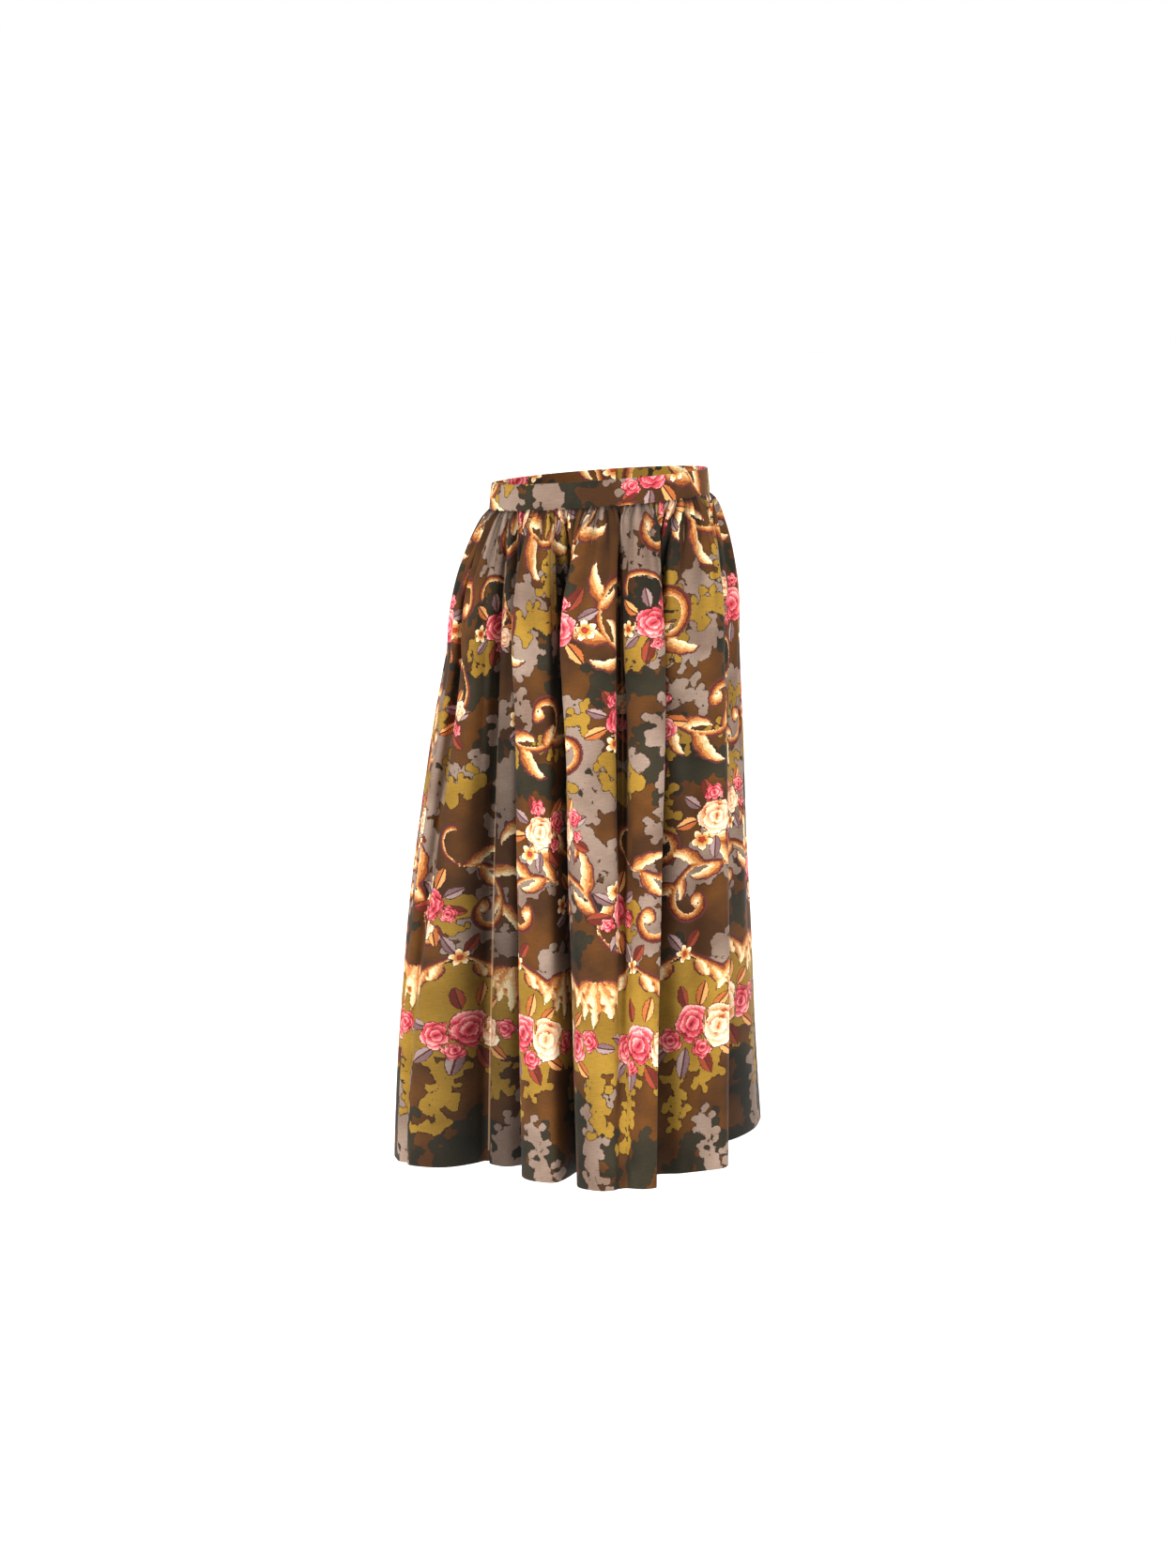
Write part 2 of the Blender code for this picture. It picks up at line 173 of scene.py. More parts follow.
# soft troughs and ridges: gather number, first and last drop, half width in gathers,
# depth (mm, negative for a ridge), sideways drift in gathers
creases = [
    (1.4, .06, .74, .45, 5.5, .3), (2.3, .20, .80, .35, -3.5, -.2), (3.9, .03, .50, .40, 6.5, -.4),
    (4.8, .10, .78, .40, -4.5, .3), (5.8, .24, .90, .45, 6.0, .2), (7.9, .04, .42, .40, 5.0, .3),
    (8.8, .05, .66, .38, -4.0, -.3), (9.9, .12, .85, .50, 6.0, .2), (12.7, .03, .46, .42, 6.0, .3),
    (13.7, .10, .76, .36, -4.5, -.2), (14.7, .20, .95, .55, 5.5, -.3), (15.7, .30, .95, .50, -4.5, .2),
    (17.6, .03, .56, .42, 5.5, .3), (18.7, .10, .70, .38, -4.0, .2), (19.6, .30, .98, .55, 6.0, -.2),
    (21.3, .04, .50, .40, 5.0, .3), (22.4, .10, .85, .42, -4.5, .3), (23.6, .03, .62, .50, 7.0, -.4),
    (24.8, .18, .90, .50, -4.5, .2), (25.9, .06, .74, .45, 5.5, .3), (29.2, .05, .60, .40, 4.5, -.2),
    (30.3, .04, .82, .45, 6.0, .3), (31.5, .22, .90, .40, -4.0, .2), (33.4, .04, .56, .42, 6.0, -.3),
    (34.4, .10, .80, .40, -4.5, .2), (35.3, .28, .95, .45, 5.0, .1), (37.6, .04, .70, .45, 6.0, .3),
    (38.7, .08, .50, .38, -4.0, -.3), (39.8, .16, .85, .50, 6.5, .2), (41.2, .05, .60, .40, -4.5, -.2),
    (43.6, .04, .75, .45, 6.0, .3), (44.8, .20, .95, .45, -4.0, .1), (46.0, .05, .50, .40, 5.0, .2),
    (48.6, .04, .56, .42, 5.5, -.3), (49.7, .10, .78, .40, -4.5, .2), (50.6, .26, .92, .45, 5.0, .2),
    (53.2, .04, .62, .45, 6.0, .3), (54.3, .12, .85, .40, -4.5, -.2), (57.4, .05, .76, .42, 5.5, -.2),
    (58.4, .10, .60, .40, -4.0, .2),
]

goldenStep, plasticStep = 0.618034, 0.754878


def planPoint(place):
    bearing = radians(place[0])
    return np.array([sin(bearing), -cos(bearing)]) * place[1] / 1000


def waistPoints(bearings, outwards=0.0):
    across = (skirt["waistHalfWidth"] + outwards) * np.sin(bearings)
    return np.column_stack([across, -(skirt["waistHalfDepth"] + outwards) * np.cos(bearings)])


def foldOutline(first):
    points = []
    for k, fold in enumerate(folds):
        before, tuck = planPoint(folds[k - 1][first + 1]), planPoint(folds[k - 1][first + 2])
        start, end = planPoint(fold[first]), planPoint(fold[first + 1])
        inward = tuck - (before + start) / 2
        across = np.array([inward[1], -inward[0]]) * skirt["tuckRadius"] / np.linalg.norm(inward)
        if across @ (start - before) < 0:
            across = -across
        outward = np.array([(end - start)[1], -(end - start)[0]])
        points += [tuck - across, tuck + across, start, (start + end) / 2 + outward * fold[3], end]
    return np.array(points)


def smoothClosed(points, steps=32):
    before, start, end, after = (np.roll(points, k, axis=0) for k in (1, 0, -1, -2))
    pairs = ((before, start), (start, end), (end, after))
    stepIn, step, stepOut = (np.sqrt(np.linalg.norm(b - a, axis=1))[:, None] for a, b in pairs)
    leave = ((start - before) / stepIn - (end - before) / (stepIn + step) + (end - start) / step) * step
    arrive = ((end - start) / step - (after - start) / (step + stepOut) + (after - end) / stepOut) * step
    t = (np.arange(steps) / steps)[None, :, None]
    start, end, leave, arrive = (a[:, None, :] for a in (start, end, leave, arrive))
    curve = start * (2 * t**3 - 3 * t**2 + 1) + leave * (t**3 - 2 * t**2 + t)
    curve = curve + end * (3 * t**2 - 2 * t**3) + arrive * (t**3 - t**2)
    return curve.reshape(-1, 2), steps


def lengthShares(curve):
    steps = np.linalg.norm(np.roll(curve, -1, axis=0) - curve, axis=1)
    return np.concatenate([[0.0], np.cumsum(steps)]) / steps.sum()


def makeColumns(perGather):
    (hip, steps), (hem, steps) = smoothClosed(foldOutline(5)), smoothClosed(foldOutline(8))
    shares = (lengthShares(hip) + lengthShares(hem)) / 2
    tucks = shares[steps // 2 :: 5 * steps]
    starts = np.concatenate([[0], np.cumsum([fold[1] * perGather for fold in folds])])
    column = np.arange(starts[-1])
    share = np.interp(column, starts, np.append(tucks, 1 + tucks[0]))
    hip, hem = (
        np.column_stack([np.interp(share % 1, shares, np.append(curve[:, k], curve[0, k])) for k in (0, 1)])
        for curve in (hip, hem)
    )
    bearings = np.radians([folds[-1][2] - 360] + [fold[2] for fold in folds])
    early = np.array([fold[4] for fold in folds], float)
    return {
        "perGather": perGather, "starts": starts, "count": int(starts[-1]),
        "gather": column / perGather,
        "around": (share - tucks[0]) * skirt["cutWidth"],  # metres of cloth from the right side seam
        "hip": hip, "hem": hem,
        "seam": waistPoints(np.interp(column, starts, bearings)),
        "early": np.interp(column, (starts[:-1] + starts[1:]) / 2, early, period=starts[-1])[:, None],
    }


def ringNormal(ring):
    into = ring - np.roll(ring, 1, axis=0)
    out = np.roll(ring, -1, axis=0) - ring
    along = into / np.linalg.norm(into, axis=1)[:, None] + out / np.linalg.norm(out, axis=1)[:, None]
    along /= np.linalg.norm(along, axis=1)[:, None]
    return np.column_stack([along[:, 1], -along[:, 0]])


def swayedGathers(place, drop):
    wander = np.sin(gathering["swayPace"] * drop + 2.4 * np.floor(place / gathering["swayGroup"]))
    return place + gathering["sway"] * wander * min(max(drop, 0) / 0.05, 1)


def between(bounds, number, step):
    return bounds[0] + (bounds[1] - bounds[0]) * (number * step % 1)


def gatherLift(columns, drop):
    place, below = swayedGathers(columns["gather"], drop), max(drop, 0)
    number = np.floor(place) % gatherCount
    height = between(gathering["height"], number, goldenStep)
    fade = between(gathering["fade"], number, plasticStep)
    stood = 1 - exp(-max(drop + gathering["start"], 0) / gathering["rise"])
    crest = height * stood * np.exp(-((max(drop - gathering["heldTo"], 0) / fade) ** 1.4))
    profile = np.abs(np.sin(pi * place)) ** (2 - 0.95 * exp(-below / gathering["crispTo"]))
    lift = crest * profile - crest.mean() / 2
    twin = place * 2 + 0.3 * np.sin(place * 1.9)
    amount = between((0.4, 1.0), np.floor(twin), plasticStep)
    fine = gathering["fineHeight"] * stood * exp(-below / gathering["fineFade"])
    return lift + fine * amount * np.abs(np.sin(pi * twin)) ** 0.9


def creaseLift(columns, drop):
    lift = np.zeros(columns["count"])
    for place, first, last, halfWidth, depth, drift in creases:
        along = (drop - first) / (last - first)
        if 0 < along < 1:
            away = columns["gather"] - place - drift * along
            away = (away + gatherCount / 2) % gatherCount - gatherCount / 2
            lift -= depth / 1000 * sin(pi * along) ** 0.8 * np.exp(-((away / halfWidth) ** 2))
    return lift


def clothRing(columns, drop, outwards=0.0):
    hipDrop, below = skirt["hipDrop"], max(drop, 0)
    if drop <= hipDrop:
        opened = 1 - (1 - below / hipDrop) ** skirt["hipSwell"]
        ring = columns["seam"] * (1 - opened) + columns["hip"] * opened
    else:
        along = min((drop - hipDrop) / (skirt["length"] - hipDrop), 1)
        opened = 1 - (1 - along) ** columns["early"]
        ring = columns["hip"] * (1 - opened) + columns["hem"] * opened
    around = columns["around"]
    swell = np.sin(around * 61 + 9 * drop) * np.sin(drop * 17 + around * 7) * min(below / 0.1, 1)
    lift = gatherLift(columns, drop) + creaseLift(columns, drop) + skirt["unevenness"] * swell
    ring = ring + ringNormal(ring) * lift[:, None]
    return ring + ringNormal(ring) * outwards


def atDrop(plan, drop):  # plan points raised to their height on the tilted skirt
    return np.column_stack([plan, skirt["sideRise"] * plan[:, 0] - skirt["bandHeight"] / 2 - drop])


def clothRows(columns, first, last, rows):
    chosen = np.arange(first, last + 1) % columns["count"]
    return np.array([atDrop(clothRing(columns, drop, outwards)[chosen], drop) for drop, outwards in rows])


# the print is laid out on the flat cloth in mm, across from the right side seam and down from the waist
printRepeat = 430  # width of the repeat
borderTop, borderFoot, garlandDrop, hemLine = 492, 600, 568, 752  # the mustard band, its roses and the hem
discs, strokes, flowers, leaves = [], [], [], []
chance = np.random.default_rng(41)


def addOakPatch(layer, x, y, heading, length, width):
    # a patch of the ground is a crooked row of discs with round lobes on both sides, like an oak leaf
    stride, bend = 8, chance.uniform(-9, 9)
    for k in range(int(length / stride) + 1):
        angle = heading + bend * k
        x, y = x + stride * cos(radians(angle)), y + stride * sin(radians(angle))
        core = width * (0.64 + 0.30 * sin(k * 1.9 + x))
        discs.append((layer, x, y, core))
        for side in (-1, 1):
            if (k + side) % 3 == 0:
                continue
            reach, lobe = core, chance.uniform(3.6, 5.4)
            out = radians(angle + side * chance.uniform(45, 100))
            for _ in range(int(chance.integers(1, 4))):
                reach += lobe * 0.9
                out += chance.uniform(-0.3, 0.3)
                discs.append((layer, x + reach * cos(out), y + reach * sin(out), lobe))
                lobe = chance.uniform(3.4, 5.6)


def addStroke(x, y, heading, length, bends, width, side=1, bright=0.0, shape="leaf", centred=False):
    count = max(int(length / 2), 10)
    t = (np.arange(count) + 0.5) / count
    bend = bends[0] + (bends[1] - bends[0]) * t**2
    angle = radians(heading) + side * np.cumsum(bend) * length / count
    path = np.cumsum(np.column_stack([np.cos(angle), np.sin(angle)]) * length / count, axis=0)
    if centred:
        path -= (path.max(axis=0) + path.min(axis=0)) / 2
    path += (x, y)
    if shape == "leaf":  # broad near its base, then a long point
        swell = np.clip(np.sin(pi * t**0.62), 0, 1) ** 0.75 * (1 - 0.26 * np.sin(t * 12) ** 2)
    else:  # a stem thickens towards its curled end
        swell = (0.22 + 0.78 * t**0.8) * np.clip((1 - t) * 14, 0, 1) ** 0.5
    half = np.maximum(width / 2 * swell, 0.8)
    stroke = {"path": path, "angle": angle, "half": half, "side": side, "bright": bright, "t": t}
    strokes.append(stroke)
    return stroke


def addScroll(x, y, heading, size, side):
    bends = (0.010 / size, 0.056 / size)
    spine = addStroke(x, y, heading, 215 * size, bends, 12 * size, side, -0.05, "stem", True)
    path, angle = spine["path"], np.degrees(spine["angle"])
    addStroke(*path[-1], angle[-1], 26 * size, (0.16 / size, 0.2 / size), 14 * size, side, 0.4)
    outer = ((0.05, 34, 58, 17), (0.27, 40, 62, 20), (0.52, 38, 50, 17))
    inner = ((0.14, 44, 50, 16), (0.46, 50, 34, 13))
    for sprouts, turn in ((outer, side), (inner, -side)):
        for at, lean, length, width in sprouts:
            k = int(at * (len(path) - 1))
            bends = (0.0, 0.050 / size)
            addStroke(*path[k], angle[k] - turn * lean, length * size, bends, width * size, turn, 0.30)
    bends = (0.012 / size, 0.09 / size)
    addStroke(*path[2], angle[0] + 180 + side * 24, 84 * size, bends, 8 * size, side, 0.0, "stem")


def addLeaf(x, y, heading, length, kind):
    leaves.append((x, y, radians(heading), length / 2, length * 0.22, kind))


def addSpray(x, y, kind, size=1.0, turn=0.0):
    # each leaf's and each bloom's bearing, reach, size and kind
    sprigs = (
        (20, 34, 30, 1), (62, 33, 26, 0), (100, 32, 27, 2), (165, 37, 30, 1), (205, 34, 27, 0),
        (262, 36, 30, 2), (300, 34, 26, 0),
    )
    blooms = (
        (0, 0, 21, kind), (188, 29, 14, 1 - kind), (330, 29, 12.5, 2), (112, 27, 11, 0), (243, 27, 9, 0),
    )
    for motifs in (sprigs, blooms):
        for angle, reach, extent, own in motifs:
            along, reach, extent = radians(angle + turn), reach * size, extent * size
            place = (x + reach * cos(along), y + reach * sin(along))
            if motifs is sprigs:
                addLeaf(*place, angle + turn, extent, own)
            else:
                flowers.append((*place, extent, radians(angle * 3 + turn), own))


def layOutGround():
    grey, olive, green = 0, 1, 2
    for layer, wanted, seed in ((grey, 50, 3), (olive, 18, 6), (green, 36, 14)):
        placed = 0
        while placed < wanted:
            x, y = chance.uniform(0, printRepeat), chance.uniform(-10, borderTop)
            if slowWaves(x, y, seed, 6) > 0.25:
                heading, length = chance.uniform(0, 360), chance.uniform(25, 80)
                addOakPatch(layer, x, y, heading, length, chance.uniform(9, 15))
                placed += 1
    for k in range(10):  # below the mustard band, olive runs down and the other colours rise from the hem
        x, down, rise = (k + 0.5) * printRepeat / 10, 18 + 92 * (k * 0.618 % 1), 30 + 110 * (k * 0.755 % 1)
        addOakPatch(olive, x, borderFoot - 16, chance.uniform(70, 110), down, chance.uniform(8, 13))
        addOakPatch(green, x - 12 * (k % 2), hemLine, chance.uniform(255, 285), rise, chance.uniform(12, 19))
        if k % 3 == 1:
            heading, rise = chance.uniform(250, 290), chance.uniform(60, 130)
            addOakPatch(grey, x + 10, hemLine, heading, rise, chance.uniform(10, 15))


def layOutField():
    rows = ((2, 0), (116, 1), (228, 0), (340, 1), (436, 0))
    for number, (y, offset) in enumerate(rows):
        for k in range(3):
            x = (k + 0.5 * offset) * printRepeat / 3 + chance.uniform(-9, 9) + 30
            side = 1 if (k + number) % 2 else -1
            turn, size = chance.uniform(0, 360), chance.uniform(0.74, 0.92)
            if (k + number) % 4 != 3:
                addScroll(x, min(y + chance.uniform(-8, 8), 420), turn, size, side)
            if (k + 2 * number) % 3:
                kind = int(chance.integers(0, 2))
                drop = y + chance.uniform(-10, 10) - 4 * (number == 4)
                addSpray(x + 72, drop, kind, chance.uniform(0.78, 0.98), turn)


def layOutBorder():
    swag = printRepeat / 3
    for k in range(3):
        left = k * swag
        for side, start in ((1, 0.0), (-1, 1.0)):
            x = left + swag * start
            addStroke(x + 4 * side, borderTop - 6, 90 - 62 * side, 76, (0.001, 0.016), 10, side, 0.0, "stem")
            for along, length in ((0.11, 22), (0.21, 28), (0.31, 30)):
                place = (x + side * swag * along, borderTop - 2 + 62 * along)
                addStroke(*place, 90 - 34 * side, length, (0.006, 0.034), 12, -side, 0.5)
        for spread, length in ((-1, 38), (1, 38), (-0.52, 43), (0.52, 43), (0.03, 50)):
            bend = 0.004 + 0.014 * abs(spread)
            x, y = left + swag * 0.5 + 9 * spread, borderTop + 9
            addStroke(x, y, 90 - 58 * spread, length, (bend, bend), 15, 1 if spread > 0 else -1, 0.45)
        flowers.append((left, borderTop - 5, 10.5, 0.3, 2))
        for side in (-1, 1):
            addLeaf(left + 11 * side, borderTop - 19, 270 + 36 * side, 25, 1 + side)
    clusters = (
        (0.0, ((0, 0, 27, 1), (-31, -12, 22, 0), (31, 4, 19, 0), (-26, 19, 14, 0), (53, -3, 13, 0))),
        (0.34, ((0, 3, 23, 0), (28, 9, 20, 1), (-29, 8, 17, 0), (51, 2, 12, 0), (-12, 25, 12, 0))),
        (0.67, ((0, -4, 22, 0), (31, 2, 25, 1), (-26, 12, 14, 0), (58, 8, 14, 0), (12, 23, 13, 0))),
    )
    fringe = (
        (-12, -34, 255, 27, 2), (12, -35, 285, 28, 1), (33, -25, 318, 26, 1), (-52, -4, 190, 28, 0),
        (-12, 38, 100, 34, 0), (16, 38, 62, 32, 2), (42, 28, 38, 28, 1), (-42, 31, 140, 30, 0),
        (72, 4, 10, 24, 0),
    )
    for shift, blooms in clusters:
        x = printRepeat * (shift + 0.02)
        for across, drop, radius, kind in blooms:
            flowers.append((x + across, garlandDrop + drop, radius, 0.09 * across, kind))
        for across, drop, heading, length, kind in fringe:
            addLeaf(x + across, garlandDrop + drop, heading, length, kind)


def slowWaves(around, down, seed, waves):
    draw = np.random.default_rng(seed)
    total = np.zeros(np.broadcast(around, down).shape)
    for k in range(waves):
        across = int(draw.integers(1, 7)) * 2 * pi / printRepeat
        lean = draw.uniform(-1, 1) * 12 * pi / printRepeat
        total += np.cos(around * across + down * lean + draw.uniform(0, 2 * pi))
    return total / sqrt(waves)


layOutGround()
layOutField()
layOutBorder()
print("print laid out:", len(discs), "discs,", len(strokes), "strokes,", len(flowers), "flowers")


def printFields(around, down):
    around, down = np.asarray(around) * 1000, np.asarray(down) * 1000
    shape = (len(down), len(around))

    def region(x, y, reach):  # the grid's cells near a motif, at each repeat
        rows = slice(*np.searchsorted(down, (y - reach, y + reach)))
        first = floor((around[0] - x - reach) / printRepeat)
        last = ceil((around[-1] - x + reach) / printRepeat)
        for k in range(first, last + 1):
            middle = x + k * printRepeat
            columns = slice(*np.searchsorted(around, (middle - reach, middle + reach)))
            if rows.stop > rows.start and columns.stop > columns.start:
                yield (rows, columns), around[columns][None, :] - middle, down[rows][:, None] - y

    ground = np.full(shape + (3,), -6.0)  # millimetres inside the nearest patch of each colour
    for layer, middleX, middleY, radius in discs:
        for where, x, y in region(middleX, middleY, radius + 6):
            ground[(*where, layer)] = np.maximum(ground[(*where, layer)], radius - np.hypot(x, y))
    wave = borderTop + 9 - 9 * np.cos(2 * pi * around[None, :] / (printRepeat / 3))
    inBand = np.minimum(down[:, None] - wave, borderFoot - down[:, None])
    ground[..., 1] = np.maximum(ground[..., 1], inBand)

    scroll = np.zeros(shape + (3,))  # millimetres inside the nearest stroke, and its tone
    scroll[..., 0] = -9.0
    for stroke in strokes:
        middle = (stroke["path"].max(axis=0) + stroke["path"].min(axis=0)) / 2
        reach = np.ptp(stroke["path"], axis=0).max() / 2 + stroke["half"].max() + 8
        path = stroke["path"] - middle
        for where, x, y in region(*middle, reach):
            depth = stroke["half"] - np.hypot(x[..., None] - path[:, 0], y[..., None] - path[:, 1])
            nearest = depth.argmax(axis=-1)
            inside = depth.max(axis=-1)
            angle = stroke["angle"][nearest]
            cross = np.cos(angle) * (y - path[nearest, 1]) - np.sin(angle) * (x - path[nearest, 0])
            cross = cross * stroke["side"] / stroke["half"][nearest]
            tone = 0.38 + 0.34 * cross + stroke["bright"] * (0.2 + 1.3 * stroke["t"][nearest] ** 1.5)
            better = (inside > scroll[where][..., 0])[..., None]
            scroll[where] = np.where(better, np.dstack([inside, tone, tone * 0]), scroll[where])

    fields = {"groundPlace": ground, "scrollPlace": scroll}
    for layer, motifs in (("flower", flowers), ("leaf", leaves)):
        best, second = np.full(shape, -9.0), np.full(shape, -9.0)
        local, kinds = np.zeros(shape + (2,)), np.zeros(shape)
        for middleX, middleY, *size, kind in motifs:
            if layer == "flower":
                (radius, turn), half = size, (size[0], size[0])
            else:
                turn, half = size[0], size[1:]
            for where, x, y in region(middleX, middleY, half[0] + 8):
                px = (x * cos(turn) + y * sin(turn)) / half[0]
                py = (y * cos(turn) - x * sin(turn)) / half[1]
                if layer == "flower":
                    inside = radius - np.hypot(x, y)
                else:
                    inside = (np.maximum(1 - px * px, 0) ** 0.9 - np.abs(py)) * half[1]
                    inside -= np.maximum(np.abs(px) - 1, 0) * half[0]
                better = inside > best[where]
                second[where] = np.maximum(second[where], np.where(better, best[where], inside))
                best[where] = np.where(better, inside, best[where])
                local[where] = np.where(better[..., None], np.stack([px, py], -1), local[where])
                kinds[where] = np.where(better, kind, kinds[where])
        fields[layer + "Place"] = np.dstack([local, np.minimum(best, (best - second) / 2)])
        fields[layer + "Kind"] = kinds
    return fields


def givePrint(piece, around, down, gather=0.0):
    shape = (len(down), len(around))
    place = [np.broadcast_to(part, shape) for part in (around, np.asarray(down)[:, None], gather)]
    for name, values in {**printFields(around, down), "clothPlace": np.dstack(place)}.items():
        giveAttribute(piece, name, values.reshape(-1, 3) if values.ndim == 3 else values.ravel())


challis = {
    "brown": ("#3c220b", "#5a350f"), "green": ("#1e1b10", "#302a1c"),
    "grey": ("#745e50", "#8c7768"), "olive": ("#83621e", "#987427"),
    "outline": "#2a170c", "plum": "#582a2a",
    "leafLine": "#452016", "midrib": "#4e2617", "roseLine": "#551a16",
    "scroll": ((0, "#53200f"), (.16, "#8f4a1e"), (.36, "#bd7c42"), (.56, "#dbae78"), (.74, "#efd7a8")),
    "leaves": (  # two halves of each of three leaves
        (0, "#75595a"), (.17, "#9d8480"), (.33, "#b0602c"),
        (.5, "#dc9a5c"), (.67, "#652418"), (.83, "#8e3c26")),
    "crimson": ((0, "#6e1420"), (.2, "#a42a35"), (.42, "#cb4650"), (.64, "#e2767a"), (.84, "#f2aaa0")),
    "pale": ((0, "#9c4526"), (.18, "#d08450"), (.36, "#e9ad84"), (.58, "#f5cfa8"), (.8, "#fce8c8")),
    "bloom": ((0, "#a93526"), (.2, "#80351c"), (.3, "#d08a42"), (.5, "#ecbd84"), (.68, "#f8e2b6")),
    "reverse": "#8a6a50", "reverseFade": 0.55,
    "valleyShade": 0.38,  # share of the light that a deep valley keeps, as painted shade
    "stitch": 0.0015,  # the print's edges step like small stitches, as on a needlework canvas
    "rib": 0.0013,  # weft ribs: real ones are about 0.5 mm, too fine for the render
}

# painted shade in the creases: depth is a share of the light, and for the puckers also their relief; shortest
# and spread are metres
gatherShade = {"depth": 0.78, "shortest": 0.026, "spread": 0.095, "crest": 1.5}
puckerShadeAndRelief = {"depth": 0.9, "shortest": 0.010, "spread": 0.030, "crest": 0.85}

# half the distance between two blind stitches, where their row is, and half its height
hemStitches = {"pitch": 0.0045, "drop": 0.7055, "half": 0.0006}

# each layer of a rose's petals: how many, turn, outer reach, and the reach of the layer inside it
rosePetals = ((5, 0.4, 1.0, 0.58), (4, 1.7, 0.70, 0.30), (2, 0.9, 0.38, 0.0))


def addCreases(add, number, down, depth, shortest, spread, crest):
    # 0 on each ridge and up to depth in the crease at each whole number, less and less further down; it
    # darkens the colour as painted shade in the creases, and for the puckers it is also their relief
    each = add("Math FLOOR", add("Math ADD", number, 0.5))
    each = add("TexWhiteNoise", each, noise_dimensions="1D")
    reach = add("Math MULTIPLY_ADD", each, spread, shortest)
    fall = add("Math MULTIPLY", add("Math DIVIDE", down, reach), -1.0)
    ridge = add("Math ABSOLUTE", add("Math SINE", add("Math MULTIPLY", number, pi)))
    crease = add("Math SUBTRACT", 1.0, add("Math POWER", ridge, crest))
    crease = add("Math MULTIPLY", crease, add("Math EXPONENT", fall))
    return add("Math MULTIPLY", crease, depth)


def printOver(add, colour, inside, line, reach, fill, edge=0.0):
    # a motif's outline goes over the colours so far, then its own tones; reach and edge are mm inside its rim
    colour = add("Mix", add("Math GREATER_THAN", inside, reach), colour, linear(line))
    return add("Mix", add("Math GREATER_THAN", inside, edge), colour, fill)


